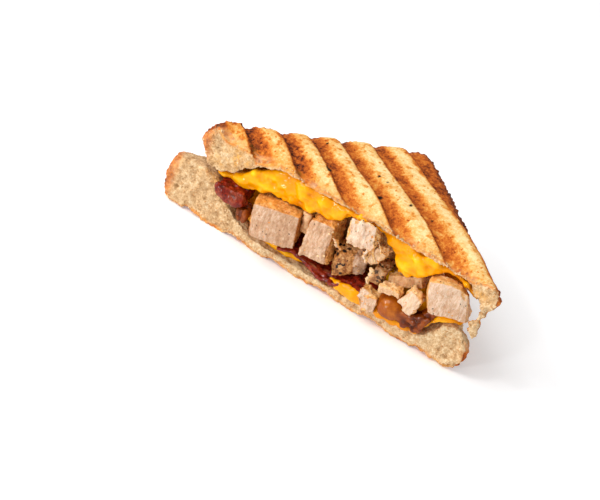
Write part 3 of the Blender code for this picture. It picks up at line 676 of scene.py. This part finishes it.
def breadPiece(name, corners, top, bottom, skinUp, material):
    leftRound = bread["tipRound"] if skinUp else bread["leftTipRound"]
    mesh = slabMesh(name, corners, [leftRound, bread["tipRound"], bread["cornerRound"]], top, bottom,
                    bread["tipBulge"] if skinUp else 0.0)
    obj = newObject(name, mesh, material)
    if skinUp:
        addStrips(obj, bread["hanging"])
    skinned(obj, bread["voxel"], bread["smoothing"])
    shape = breadRelief
    points, normals = surface(obj)
    x, y, z = points.T
    inside = crustDistance(x, y, corners)
    onCut = ease(*shape["onCut"], -normals[:, 1]) * ease(*shape["cutDeep"], y)
    up, down = (ease(*shape["facing"], way * normals[:, 2]) for way in (1, -1))
    side = (1 - up) * (1 - down) * (1 - onCut)
    outer, inner = (up, down) if skinUp else (down, up)
    reach, size = shape["bend"]
    bent = points + reach * np.stack([fractal(points, size, s) for s in shape["bendSeeds"]], axis=1)
    rim = ease(*shape["rim"], y) * outer
    holes = np.maximum.reduce([pits(bent, *hole) for hole in shape["holes"]])
    crags = pits(bent, *shape["crags"])
    crumbRelief = (layer(points, *shape["crumb"]) - shape["holeDepth"] * holes
                   + layer(points, *shape["crumbFine"]))
    crustRelief = (layer(points, *shape["crust"]) + layer(points, *shape["crustFine"])
                   + straight(shape["crustCrags"], crags))
    skinRelief = (layer(points, *shape["skin"]) + shape["waveHeight"] * softNoise(points, *shape["waves"])
                  - pits(bent, *shape["skinPits"]))
    rimRelief = (layer(points, *shape["rimFine"]) + layer(points, *shape["rimWide"])
                 + straight(shape["rimCrags"], crags))
    edgeRelief = layer(points, *shape["edgeRough"]) + straight(shape["edgeCrags"], crags)
    open_ = np.maximum(onCut, inner)
    lift = open_ * crumbRelief + side * crustRelief + outer * skinRelief + rim * rimRelief
    lift = lift + ease(*shape["edge"], inside) * outer * edgeRelief
    if not skinUp:
        torn = layer(points, *shape["torn"]) - pits(bent, *shape["tornPits"])
        lift = lift + ease(*shape["tear"], x) * (1 - outer) * torn
    moved = points + normals * lift[:, None]
    moved[:, 2] = np.maximum(moved[:, 2], shape["overTable"])   # nothing reaches below the table
    placePoints(obj, moved)

    look = breadPaint
    (first, last), (firstReach, lastReach) = bread["tipX"][name], look["tipReach"]
    tip = np.maximum(ease(first, first + firstReach, x + layer(points, *look["tipFirst"])),
                     ease(last, last + lastReach, x + layer(points, *look["tipLast"])))
    sideToast = (straight(look["side"], crags) + layer(points, *look["sideWide"])
                 + layer(points, *look["sideFine"]))
    toast = toastValue(points, corners) * outer + sideToast * (1 - outer)
    ragged = ease(*look["raggedBand"], fractal(points, *look["ragged"]))
    crumb = np.clip(open_ * look["openGain"] + look["rimGain"] * rim * ragged, 0.0, 1.0)
    depth = top(x, y) - z if skinUp else z - bottom(x, y)
    skinWrap = ease(*look["wrap"], depth + layer(points, *look["wrapWander"]))
    crumb = crumb * (1 - look["wrapLoss"] * skinWrap * onCut) * (1 - look["tipLoss"] * tip)
    toast = np.where(onCut > 0.5, straight(look["cutLine"], tip) + layer(points, *look["cutWander"]), toast)
    speck = np.minimum.reduce([np.hypot(x - sx, (y - sy) / look["burntStretch"]) / size
                               for sx, sy, size in bread["burnt"]])
    char = ease(*look["burntBand"], speck + layer(points, *look["burntWander"])) * outer * skinUp
    stain = sum(strength * np.exp(-(((x - sx) / wide) ** 2) - ((z - sz) / high) ** 2)
                for sx, sz, wide, high, strength in bread["stains"][name])
    stainWander = ease(*look["stainBand"], fractal(points, *look["stainWander"]))
    # the pit values are painted shade: in the crumb's holes and over its left end
    painted = {"toast": toast, "crumb": crumb, "char": char,
               "pitShade": (holes + look["leftShadeDepth"] * ease(*look["leftShadeReach"], x)) * open_,
               "stain": stain * ease(*look["stainDeep"], y) * stainWander}
    for label, values in painted.items():
        paint(obj, label, values)
    return dressed(obj, "bread", "bread_top" if skinUp else "bread_bottom")


# scatterBits: small grains spread over a mesh where its scatter attribute is high
grainShape = {"depth": 0.75, "turn": (6.3, 6.3, 6.3), "wobbleScale": 1500.0}


def scatterBitsTree():
    tree = bpy.data.node_groups.new("scatterBits", "GeometryNodeTree")
    tree.interface.new_socket("Geometry", in_out="INPUT", socket_type="NodeSocketGeometry")
    for label, kind, default in (("Density", "Float", 1e5), ("Seed", "Int", 1), ("Smallest", "Float", 3e-4),
                                 ("Largest", "Float", 9e-4), ("Flatness", "Float", 0.6),
                                 ("Raggedness", "Float", 0.5), ("Subdivisions", "Int", 2)):
        socket = tree.interface.new_socket(label, in_out="INPUT", socket_type="NodeSocket" + kind)
        socket.default_value = default
    tree.interface.new_socket("Material", in_out="INPUT", socket_type="NodeSocketMaterial")
    tree.interface.new_socket("Geometry", in_out="OUTPUT", socket_type="NodeSocketGeometry")
    make = nodeMaker(tree)
    entry = make("NodeGroupInput").outputs
    mask = make("GeometryNodeInputNamedAttribute", {"Name": "scatter"}, data_type="FLOAT")
    density = scaled(make, mask.outputs[0], entry["Density"])
    places = make("GeometryNodeDistributePointsOnFaces", {"Mesh": entry["Geometry"], "Density": density,
                                                          "Seed": entry["Seed"]})
    grain = make("GeometryNodeMeshIcoSphere", {"Radius": 1.0, "Subdivisions": entry["Subdivisions"]})
    size = make("FunctionNodeRandomValue", {2: entry["Smallest"], 3: entry["Largest"],
                                            "Seed": entry["Seed"]}, data_type="FLOAT").outputs[1]
    squash = make("ShaderNodeCombineXYZ", {"X": 1.0, "Y": grainShape["depth"], "Z": entry["Flatness"]})
    scale = make("ShaderNodeVectorMath", {0: squash.outputs[0], "Scale": size}, operation="SCALE")
    turn = make("FunctionNodeRandomValue", {0: (0.0, 0.0, 0.0), 1: grainShape["turn"],
                                            "Seed": entry["Seed"]}, data_type="FLOAT_VECTOR")
    spread = make("GeometryNodeInstanceOnPoints", {"Points": places.outputs["Points"],
                                                   "Instance": grain.outputs["Mesh"],
                                                   "Rotation": turn.outputs[0],
                                                   "Scale": scale.outputs[0]})
    real = make("GeometryNodeRealizeInstances", {"Geometry": spread.outputs[0]})
    wobble = make("ShaderNodeTexNoise", {"Scale": grainShape["wobbleScale"], "Detail": 1.0}).outputs["Color"]
    wobble = make("ShaderNodeVectorMath", {0: wobble, 1: (0.5, 0.5, 0.5)}, operation="SUBTRACT")
    reach = scaled(make, entry["Raggedness"], entry["Largest"])
    shift = make("ShaderNodeVectorMath", {0: wobble.outputs[0], "Scale": reach}, operation="SCALE")
    moved = make("GeometryNodeSetPosition", {"Geometry": real.outputs[0], "Offset": shift.outputs[0]})
    coat = make("GeometryNodeSetMaterial", {"Geometry": moved.outputs[0], "Material": entry["Material"]})
    exit_ = make("NodeGroupOutput")
    tree.links.new(coat.outputs[0], exit_.inputs["Geometry"])
    return tree


scatterBits = scatterBitsTree()


# grains of one kind over finished pieces, as one mesh; grounds pairs each piece with its mask
def scatterOver(grounds, name, material, slot, **inputs):
    points, faces, masks, count = [], [], [], 0
    for ground, mask in grounds:
        ground.data.calc_loop_triangles()
        corners = np.empty(len(ground.data.loop_triangles) * 3, dtype=np.int32)
        ground.data.loop_triangles.foreach_get("vertices", corners)
        corners = corners.reshape(-1, 3)
        corners = corners[mask[corners].max(axis=1) > 0.01]
        points.append(meshPoints(ground.data))
        faces.append(corners + count)
        masks.append(mask)
        count += len(mask)
    mesh = bpy.data.meshes.new(name)
    mesh.from_pydata(np.vstack(points).tolist(), [], np.vstack(faces).tolist())
    obj = newObject(name, mesh, material)
    paint(obj, "scatter", np.concatenate(masks))
    modifier = obj.modifiers.new("scatter", "NODES")
    modifier.node_group = scatterBits
    for item in scatterBits.interface.items_tree:
        if item.in_out == "INPUT" and item.name in inputs:
            modifier[item.identifier] = inputs[item.name]
        elif item.in_out == "INPUT" and item.name == "Material":
            modifier[item.identifier] = material
    applied(obj)
    dressed(obj, slot)
    print(name, len(obj.data.polygons))


toastedBread = breadMaterial()
topSlice = breadPiece("topSlice", topCorners, topSliceTop, topSliceBottom, True, toastedBread)
bottomSlice = breadPiece("bottomSlice", bottomCorners, bottomSliceTop, bottomSliceBottom, False, toastedBread)
print("bread", len(topSlice.data.polygons), len(bottomSlice.data.polygons))


# filling: each piece starts from its own solid
chickenLook = {
    "cut": [(0.0, "9A6C46"), (0.35, "C09470"), (0.65, "DABA9E"), (1.0, "EEDCC8")],
    "coat": [(0.0, "96541F"), (0.28, "C27C34"), (0.52, "DC9F56"), (0.78, "EDBE7E"), (1.0, "F8DAA6")],
    "brown": [(0.0, "4A230E"), (0.28, "925626"), (0.55, "C48A4C"), (0.82, "E2B480"), (1.0, "F2D6AC")],
    "pepper": "24120B", "orange": "D98A3A", "glaze": "E09436", "glazeAmount": 0.75, "roughness": 0.46,
    "coatPepper": (800.0, 0.28, 0.10), "brownPepper": (430.0, 0.44, 0.48), "flecks": (620.0, 0.26, 0.10),
    "fibre": (520.0, 1900.0), "fibreStretch": (1.5, 1.0, 0.5), "grain": (420.0, 1500.0),
    "cutShares": (0.5, 0.5, 0.05), "coatShares": (0.6, 0.6, -0.1), "bareLine": (1.0, -0.85),
    "grainHeight": 0.6, "bump": (0.55, 0.45),
}


def chickenMaterial(name, kind):
    look = chickenLook
    material, make, shader = newMaterial(name, look["roughness"], Subsurface_Weight=0.08,
                                         Subsurface_Scale=0.002, Specular_IOR_Level=0.35)
    fibre = grained(make, *look["fibre"], Stretch=look["fibreStretch"])
    grain = grained(make, *look["grain"])
    cut, shade = attribute(make, "cut"), attribute(make, "shade")
    tones = []
    for source, shares, stops in ((grain, look["coatShares"], look[kind]),
                                  (fibre, look["cutShares"], look["cut"])):
        level = scaled(make, source["Grain"], shares[1], shares[2])
        tones.append(ramp(make, scaled(make, shade, shares[0], level, clamp=True), stops))
    colour = blend(make, cut, *tones)
    glaze = scaled(make, attribute(make, "glaze"), look["glazeAmount"])
    colour = blend(make, glaze, colour, tone(look["glaze"]))
    colour = blend(make, spots(make, *look["flecks"]), colour, tone(look["orange"]))
    bare = scaled(make, cut, look["bareLine"][1], look["bareLine"][0])
    pepper = scaled(make, spots(make, *look[kind + "Pepper"]), bare)
    colour = blend(make, pepper, colour, tone(look["pepper"]))
    height = scaled(make, fibre["Height"], cut, scaled(make, grain["Height"], look["grainHeight"]))
    return finish(material, shader, colour, height, *look["bump"])


# node: tilt, turn, how rough, how torn, how much of its front is cut meat, shade; the shade is partly painted
# shade, lowest on the left pieces
chicken = {
    "chicken_cube_left": (9, 10, 0.30, 0.25, 1.0, 0.10),
    "chicken_between": (6, 0, 0.50, 0.5, 0.4, 0.50),
    "chicken_leaning": (9, 0, 0.60, 0.6, 0.95, 0.24),
    "chicken_high": (11, 0, 0.70, 1.3, 0.95, 0.80),
    "chicken_shred_high": (-22, 0, 0.65, 1.2, 0.5, 0.70),
    "chicken_seasoned": (4, 32, 0.45, 0.4, 0.0, 0.38),
    "chicken_dark": (-8, 0, 0.50, 0.8, 0.2, 0.50),
    "chicken_flat": (29, 0, 0.50, 0.9, 0.4, 0.60),
    "chicken_wedge": (-22, 0, 0.50, 0.8, 0.8, 0.65),
    "chicken_shred_low": (10, 0, 0.60, 1.1, 0.5, 0.75),
    "chicken_cube_right": (17, 11, 0.30, 0.25, 1.0, 0.52),
    "chicken_pink": (22, 0, 0.45, 0.7, 1.0, 0.50),
}
paleSide = {"chicken_seasoned": 0.9, "chicken_dark": 0.5}   # how pale the right side of each is
shreds = {"chicken_high": [((13.0, -4.0, 37.5), (16.5, -5.5, 30.0), 0.9, 0.7),
                           ((15.0, -2.5, 39.0), (19.0, -4.0, 31.5), 0.8, 0.6),
                           ((15.0, -4.5, 36.5), (14.5, -6.0, 31.5), 0.7, 0.6),
                           ((15.5, -1.0, 44.0), (20.0, -2.5, 36.0), 0.8, 0.6)],
          "chicken_leaning": [((-1.0, -5.0, 33.0), (3.0, -5.5, 29.5), 1.0, 0.7)],
          "chicken_shred_high": [((19.0, -3.0, 28.0), (20.5, -4.0, 20.0), 0.8, 0.6)]}
meat = {
    "voxel": 0.36, "smoothing": 3, "seeds": 40, "middling": (2.8, 5), "lump": (6.0, 3), "fine": (1.3, 7),
    "fibre": (2.2, 0), "glaze": (4.5, 13), "bite": (3.4, 9, 0.62, 0.30), "biteStretch": (1.0, 1.0, 0.5),
    "fibreStretch": (1.6, 1.0, 0.4), "front": (0.62, 0.88), "frontWander": 0.22, "top": (0.3, 0.8),
    "lumpHeight": 1.3, "middlingHeight": 0.9, "fineLine": (0.5, 0.6), "fibreHeight": 0.6,
    "biteDepth": 0.9, "biteLine": (1, -0.6), "sideCut": 0.12, "sideBand": (0.0, 0.6), "lean": 0.25,
    "paleBand": (3.6, 4.6), "paleWander": 0.8, "lumpTone": 0.30, "middlingTone": 0.14, "topLight": 0.16,
    "biteShade": 0.15, "rimBand": (-0.4, 0.4), "rimGlaze": 0.9, "topGlaze": 0.6, "glazeBand": (-0.1, 0.5),
}


def chickenPiece(node, material):
    tilt, turn, rough, torn, cutShare, shade = chicken[node]
    piece = copyOf(node.replace("chicken_", "diced_"), material, node)
    addStrips(piece, shreds.get(node, []))
    skinned(piece, meat["voxel"], meat["smoothing"])
    points, normals = surface(piece)
    turned = np.array(Matrix.Rotation(math.radians(-tilt), 3, "Y")
                      @ Matrix.Rotation(math.radians(turn), 3, "Z"))
    local, facing = points @ turned, normals @ turned
    first = sum(map(ord, node)) % meat["seeds"]
    noises = []
    for kind in ("middling", "lump", "fine", "fibre", "glaze"):
        size, seed = meat[kind]
        ground = local * np.array(meat["fibreStretch"]) if kind == "fibre" else points
        noises.append(fractal(ground, size, first + seed))
    middling, lump, fine, fibre, glaze = noises
    front = ease(*meat["front"], -facing[:, 1] + meat["frontWander"] * middling)
    top = ease(*meat["top"], facing[:, 2])
    size, seed, wall, floor = meat["bite"]
    bite = pits(local * np.array(meat["biteStretch"]), 1.0, size, first + seed, wall, floor)
    lift = rough * (meat["lumpHeight"] * lump + meat["middlingHeight"] * middling
                    + straight(meat["fineLine"], 1 - front) * fine + meat["fibreHeight"] * front * fibre)
    lift = lift - torn * straight(meat["biteLine"], front) * meat["biteDepth"] * bite
    raised(piece, points, normals, lift)
    cut = front * cutShare + (1 - front) * meat["sideCut"] * ease(*meat["sideBand"], lump)
    rightward = points[:, 0] - points[:, 0].mean() + meat["lean"] * (points[:, 2] - points[:, 2].mean())
    pale = ease(*meat["paleBand"], rightward + meat["paleWander"] * middling)
    paint(piece, "cut", np.maximum(cut, paleSide.get(node, 0.0) * pale))
    # the shade is the piece's level and random tone, with painted light on the top faces and painted shade in
    # the bites
    paint(piece, "shade", shade + meat["lumpTone"] * lump + meat["middlingTone"] * middling
          + meat["topLight"] * top - meat["biteShade"] * torn * bite)
    rim = 4 * front * (1 - front) * ease(*meat["rimBand"], middling)
    paint(piece, "glaze", meat["rimGlaze"] * rim + meat["topGlaze"] * top * ease(*meat["glazeBand"], glaze))
    return piece


chickenMeat = chickenMaterial("chickenMeat", "coat")
brownedChicken = chickenMaterial("brownedChicken", "brown")
dice = {}
for node in chicken:
    coated = node in ("chicken_seasoned", "chicken_dark")
    dice[node] = dressed(chickenPiece(node, brownedChicken if coated else chickenMeat),
                         "coated_chicken" if coated else "chicken", node)
print("chicken", sum(len(piece.data.polygons) for piece in dice.values()))


heap = {"voxel": 0.6, "smoothing": 3, "cells": (9.0, 5), "rough": (0.9, 4.0, 8), "gap": (0.45, 0.85),
        "gapDepth": 1.1, "cut": (9.0, 14), "cutBand": (0.2, 0.5), "cutAmount": 0.5, "shade": 0.25,
        "tone": (0.3, 7.0, 16), "shadedGap": (0.5, 0.9), "gapShade": 0.4, "glaze": (5.0, 18),
        "glazeBand": (0.0, 0.5), "glazeAmount": 0.5}


def heapPiece():
    piece = copyOf("dicedFurtherIn", chickenMeat, "chicken_filling")
    skinned(piece, heap["voxel"], heap["smoothing"])
    points, normals = surface(piece)
    cells = holeDistance(points, *heap["cells"])
    lift = layer(points, *heap["rough"]) - heap["gapDepth"] * ease(*heap["gap"], cells)
    raised(piece, points, normals, lift)
    paint(piece, "cut", heap["cutAmount"] * ease(*heap["cutBand"], fractal(points, *heap["cut"])))
    # the gap term is painted shade in the gaps between the lumps
    paint(piece, "shade", heap["shade"] + layer(points, *heap["tone"])
          - heap["gapShade"] * ease(*heap["shadedGap"], cells))
    paint(piece, "glaze", heap["glazeAmount"] * ease(*heap["glazeBand"], fractal(points, *heap["glaze"])))
    dressed(piece, "chicken", "chicken_filling")


heapPiece()


cheeseLook = {
    "stops": [(0.0, "C87200"), (0.28, "E48C00"), (0.58, "F4A000"), (1.0, "FFC81C")],
    "roughness": 0.45, "coat": (0.45, 0.08), "grain": (150.0, 900.0), "grainAmount": 0.16, "shadeAmount": 0.9,
    "bump": (0.15, 0.3), "smoothing": 10, "flow": (8.0, 31), "flowStretch": (1.0, 1.0, 0.6),
    "ripple": (3.2, 33), "folds": (5.0, 37, 2), "foldStretch": (1.0, 1.0, 1.7), "atCut": (7.0, 2.0),
    "flowHeight": 0.9, "rippleHeight": 0.45, "foldHeight": 1.7, "foldLevel": 0.35,
    "shade": 0.52, "flowTone": 0.36, "rippleTone": 0.16, "foldShade": 0.50,
}


def cheesePiece(node, name, material, voxel):
    look = cheeseLook
    piece = skinned(copyOf(name, material, node), voxel, look["smoothing"])
    points, normals = surface(piece)
    flow = fractal(points * np.array(look["flowStretch"]), *look["flow"])
    ripple = fractal(points, *look["ripple"])
    folds = fractal(points * np.array(look["foldStretch"]), *look["folds"])
    atCut = ease(*look["atCut"], points[:, 1])
    raised(piece, points, normals, look["flowHeight"] * flow + look["rippleHeight"] * ripple
           + look["foldHeight"] * atCut * (look["foldLevel"] + folds))
    # the fold term is painted shade: darker in the fold hollows, lighter on the crests
    paint(piece, "shade", look["shade"] + look["flowTone"] * flow + look["rippleTone"] * ripple
          + look["foldShade"] * atCut * folds)
    return dressed(piece, "cheese", node)


meltedCheese = wetMaterial("meltedCheese", cheeseLook)
cheeseTop = cheesePiece("cheese_top", "meltedSheetTop", meltedCheese, 0.5)
cheeseBottom = cheesePiece("cheese_bottom", "meltedSheetLow", meltedCheese, 0.6)
print("cheese", len(cheeseTop.data.polygons), len(cheeseBottom.data.polygons))


baconLook = {
    "stops": [(0.0, "1E0503"), (0.30, "501008"), (0.60, "801E0E"), (0.85, "A03A18"), (1.0, "B86430")],
    "fat": [(0.0, "8A4A28"), (0.6, "C08A5A"), (1.0, "DDB88C")],
    "roughness": 0.45, "coat": (0.6, 0.12), "grain": (480.0, 1500.0), "grainAmount": 0.5, "shadeAmount": 0.6,
    "bump": (0.5, 0.5), "voxel": 0.36, "streakStretch": (0.16, 0.4), "streak": (2.6, 71),
    "crisp": (2.2, 73), "crumple": (4.0, 75), "crispHeight": 0.45, "streakHeight": 0.35,
    "fatBand": (0.24, 0.42), "shadeLine": (0.45, 0.4),
}
# node: name, which way it runs, how much fat shows, how crumpled, how often softened
rashers = {"bacon_front": ("rasherFront", 0.05, 0.4, 0.8, 4),
           "bacon_left": ("rasherEnd", 0.4, 0.08, 1.1, 16),
           "bacon_side": ("rasherSide", math.radians(-51), 0.8, 0.6, 4)}


def baconPiece(node, material):
    name, along, fatShare, crumple, softening = rashers[node]
    look = baconLook
    piece = skinned(copyOf(name, material, node), look["voxel"], softening)
    points, normals = surface(piece)
    length = points @ np.array([math.cos(along), math.sin(along), 0.0])
    width = points @ np.array([-math.sin(along), math.cos(along), 0.0])
    shrink, flatten = look["streakStretch"]
    streak = fractal(np.stack([length * shrink, width, points[:, 2] * flatten], axis=1), *look["streak"])
    crisp = fractal(points, *look["crisp"])
    raised(piece, points, normals, look["crispHeight"] * crisp + look["streakHeight"] * streak
           + crumple * softNoise(points, *look["crumple"]))
    paint(piece, "fat", fatShare * ease(*look["fatBand"], streak))
    paint(piece, "shade", straight(look["shadeLine"], crisp))
    dressed(piece, "bacon", node)


cookedBacon = wetMaterial("cookedBacon", baconLook)
for node in rashers:
    baconPiece(node, cookedBacon)


sauceLook = {
    "stops": [(0.0, "2E0E03"), (0.28, "6A2A06"), (0.55, "98480A"), (0.80, "BE6A0E"), (1.0, "E09A2C")],
    "roughness": 0.30, "coat": (0.6, 0.06), "grain": (260.0, 1000.0), "grainAmount": 0.2, "shadeAmount": 0.9,
    "bump": (0.14, 0.4), "joining": [(0.5, 4), (0.5, 26), (0.3, 4)], "lumpyReach": 8, "pull": 0.8,
    "leastReach": 0.3, "cells": (4.4, 87), "crease": (0.40, 0.75), "creaseDepth": 1.3, "waves": (5.0, 81),
    "waveHeight": 0.4, "rough": (0.3, 2.6, 85), "shade": 0.58, "tone": (0.24, 5.0, 83), "lumpyTone": 0.22,
    "creaseShade": 0.25,
}


# lumps that touch run together into one wet mass, amber at its left and burnt at its right
def saucePiece(nodes, name, material, swell, brownFrom, ball=None):
    look = sauceLook
    piece = skinned(copyOf(name, material, *nodes), *look["joining"][0])
    points, normals = surface(piece)
    placePoints(piece, points + normals * swell)
    skinned(piece, *look["joining"][1])
    points, normals = surface(skinned(piece, *look["joining"][2]))
    lumpy = ease(brownFrom, brownFrom + look["lumpyReach"], points[:, 0])
    if ball:
        centre, radii = np.array(ball)
        length = np.linalg.norm((points - centre) / radii, axis=1)
        pull = look["pull"] * (1 - lumpy) * (1 / np.maximum(length, look["leastReach"]) - 1)
        points = points + (points - centre) * pull[:, None]
    creases = ease(*look["crease"], holeDistance(points, *look["cells"]))
    raised(piece, points, normals, look["waveHeight"] * softNoise(points, *look["waves"])
           - look["creaseDepth"] * lumpy * creases + lumpy * layer(points, *look["rough"]))
    # the crease term is painted shade in the creases
    paint(piece, "shade", look["shade"] + layer(points, *look["tone"]) - look["lumpyTone"] * lumpy
          - look["creaseShade"] * lumpy * creases)
    dressed(piece, "sauce", *nodes)


thickSauce = wetMaterial("thickSauce", sauceLook)
saucePiece(["sauce_drip"], "sauceDrip", thickSauce, 0.2, -70.0)
saucePiece(["sauce_lump_left", "sauce_lump_middle", "sauce_lump_right"], "sauceMass", thickSauce, 1.1, 36.0,
           ((33.0, 1.1, 13.2), (7.2, 6.4, 6.0)))


# melted cheese that ran forward over the low slice, beads that melt into each other
cheeseRun = {"stretch": (1.7, 0.9, 1.1, 1.0),
             "beads": [(4.0, 1.2, 8.6, 1.5), (8.0, 0.0, 9.0, 2.2), (12.0, -0.8, 9.6, 2.7),
                       (16.0, -1.2, 9.9, 2.9), (20.0, -1.0, 9.6, 2.7), (24.5, -0.6, 8.4, 2.3),
                       (30.0, -1.0, 8.0, 2.1), (36.0, -0.8, 8.2, 2.0), (42.0, -0.6, 8.8, 2.0),
                       (47.0, 0.0, 9.4, 1.6)],
             "voxel": 0.4, "smoothing": 12, "flow": (4.0, 95), "flowHeight": 0.5, "shadeLine": (0.45, 0.35),
             "dark": (22, 34), "darkTone": 0.3}


def cheeseRunPiece(material):
    joined = bmesh.new()
    for x, y, z, radius in cheeseRun["beads"]:
        place = Vector(np.array([x, y, z]) + cutMiddle) * mm
        stretch = Matrix.Diagonal(cheeseRun["stretch"])
        bmesh.ops.create_icosphere(joined, subdivisions=3, radius=radius * mm,
                                   matrix=Matrix.Translation(place) @ stretch)
    mesh = bpy.data.meshes.new("cheeseRun")
    joined.to_mesh(mesh)
    joined.free()
    piece = skinned(newObject("cheeseRun", mesh, material), cheeseRun["voxel"], cheeseRun["smoothing"])
    points, normals = surface(piece)
    flow = fractal(points, *cheeseRun["flow"])
    raised(piece, points, normals, cheeseRun["flowHeight"] * flow)
    paint(piece, "shade", straight(cheeseRun["shadeLine"], flow)
          - cheeseRun["darkTone"] * ease(*cheeseRun["dark"], points[:, 0]))
    dressed(piece, "cheese")


cheeseRunPiece(meltedCheese)
print("bacon, sauce and run done")


# crumbs at the rims
crumbLook = {
    "stops": [(0.0, "A86C38"), (0.3, "CA965C"), (0.6, "E2BA86"), (1.0, "F4DCB4")],
    "roughness": 0.8, "grain": (330.0, 2200.0), "bump": (0.3, 0.2),
    "rim": (2.0, 0.2), "patch": (3.0, 91), "patchBand": (-0.2, 0.4), "share": 0.9, "overTable": 1.5,
}
breadCrumbs = dryMaterial("breadCrumbs", crumbLook)
grounds = []
for piece in (topSlice, bottomSlice):
    points = workPoints(piece)
    patch = ease(*crumbLook["patchBand"], fractal(points, *crumbLook["patch"]))
    nearRim = ease(*crumbLook["rim"], points[:, 1]) * patch
    grounds.append((piece, crumbLook["share"] * nearRim * (points[:, 2] >= crumbLook["overTable"])))
scatterOver(grounds, "rimCrumbs", breadCrumbs, "bread", Density=6.5e5, Seed=3, Smallest=2.5e-4,
            Largest=6.5e-4, Flatness=0.7, Raggedness=0.9, Subdivisions=1)


# ground pepper on the chicken, most of it on the seasoned piece
pepperLook = {
    "stops": [(0.0, "120906"), (0.6, "2E1A10"), (1.0, "5A3620")],
    "roughness": 0.6, "grain": (900.0, 2600.0), "bump": (0.3, 0.1),
    "front": (2.0, -1.0), "top": (0.3, 0.8), "topShare": 0.5, "patch": (5.0, 97), "patchBand": (0.0, 0.5),
    "seasoned": 0.9, "others": 0.3,
}
grounds = []
for node, piece in dice.items():
    points, normals = surface(piece)
    open_ = ease(*pepperLook["front"], points[:, 1])
    open_ = open_ + pepperLook["topShare"] * ease(*pepperLook["top"], normals[:, 2])
    mask = np.clip(open_, 0.0, 1.0) * ease(*pepperLook["patchBand"], fractal(points, *pepperLook["patch"]))
    grounds.append((piece, mask * pepperLook["seasoned" if node == "chicken_seasoned" else "others"]))
scatterOver(grounds, "pepperGrains", dryMaterial("groundPepper", pepperLook), "coated_chicken",
            Density=1.4e5, Seed=7, Smallest=2.0e-4, Largest=5.0e-4, Flatness=0.5, Raggedness=0.6,
            Subdivisions=1)


# small flakes on top of three pieces
flakes = {"nodes": ("chicken_leaning", "chicken_seasoned", "chicken_high"), "deep": (9.0, 0.0),
          "upBand": (-0.2, 0.5), "frontShare": 0.4, "patch": (4.0, 99), "patchBand": (0.15, 0.5)}
grounds = []
for node in flakes["nodes"]:
    points, normals = surface(dice[node])
    mask = ease(*flakes["deep"], points[:, 1])
    mask = mask * ease(*flakes["upBand"], normals[:, 2] - flakes["frontShare"] * normals[:, 1])
    grounds.append((dice[node], mask * ease(*flakes["patchBand"], fractal(points, *flakes["patch"]))))
scatterOver(grounds, "chickenFlakes", breadCrumbs, "chicken", Density=3.0e5, Seed=9,
            Smallest=2.5e-4, Largest=8.0e-4, Flatness=0.6, Raggedness=1.0, Subdivisions=2)


# camera as the photograph was taken: azimuth, height and roll, then the distance
view = {"azimuth": 15.74, "height": 33.32, "roll": -22.42, "across": 9.133, "down": 16.639,
        "distance": 679.14, "lens": 90.0, "sensor": 36.0, "clipStart": 0.01, "baseLift": 3.0}


def addCamera():
    a, e, r = (math.radians(view[k]) for k in ("azimuth", "height", "roll"))
    toward = Vector((math.sin(a) * math.cos(e), -math.cos(a) * math.cos(e), math.sin(e)))
    rightWay = Vector((math.cos(a), math.sin(a), 0))
    upWay = toward.cross(rightWay)
    turned = Matrix.Rotation(r, 3, "Z") @ Matrix((rightWay, upWay, toward))
    place = turned.transposed() @ Vector((-view["across"], view["down"], view["distance"]))
    place = (place + Vector((0, 0, view["baseLift"])) + Vector(cutMiddle)) * mm
    data = bpy.data.cameras.new("camera")
    data.lens = view["lens"]
    data.sensor_width = view["sensor"]
    data.clip_start = view["clipStart"]
    camera = bpy.data.objects.new("camera", data)
    camera.matrix_world = Matrix.Translation(place) @ turned.transposed().to_4x4()
    bpy.context.collection.objects.link(camera)
    bpy.context.scene.camera = camera


# a white table and soft studio light
studio = {"floor": 3.0, "skyStrength": 0.60, "tableGlow": 0.16, "tableTone": (0.93, 0.93, 0.935, 1.0),
          "white": (1.0, 1.0, 1.0, 1.0), "roughness": 0.6, "aim": (0, 0, 0.03),
          "lamps": {"key": (16.0, 1.2, (-0.95, -0.42, 1.25)), "glint": (1.8, 0.11, (-0.22, -0.74, 0.24)),
                    "topGlint": (1.4, 0.10, (-0.57, -0.47, 0.66))}}


def addStudio():
    mesh = bpy.data.meshes.new("table")
    half = studio["floor"] / 2
    mesh.from_pydata([(-half, -half, 0), (half, -half, 0), (half, half, 0), (-half, half, 0)], [],
                     [(0, 1, 2, 3)])
    material = newMaterial("whiteTable", studio["roughness"], Base_Color=studio["tableTone"],
                           Emission_Color=studio["white"], Emission_Strength=studio["tableGlow"])[0]
    table = newObject("table", mesh, material)
    world = bpy.data.worlds.new("studioWorld")
    world.use_nodes = True
    sky = world.node_tree.nodes["Background"].inputs
    sky["Color"].default_value = studio["white"]
    sky["Strength"].default_value = studio["skyStrength"]
    bpy.context.scene.world = world
    for name, (energy, size, place) in studio["lamps"].items():
        data = bpy.data.lights.new(name, "AREA")
        data.energy = energy
        data.size = size
        lamp = bpy.data.objects.new(name, data)
        lamp.location = place
        aim = Vector(studio["aim"]) - Vector(place)
        lamp.rotation_euler = aim.to_track_quat("-Z", "Y").to_euler()
        bpy.context.collection.objects.link(lamp)
    bpy.context.scene.view_settings.view_transform = "Standard"


addCamera()
addStudio()
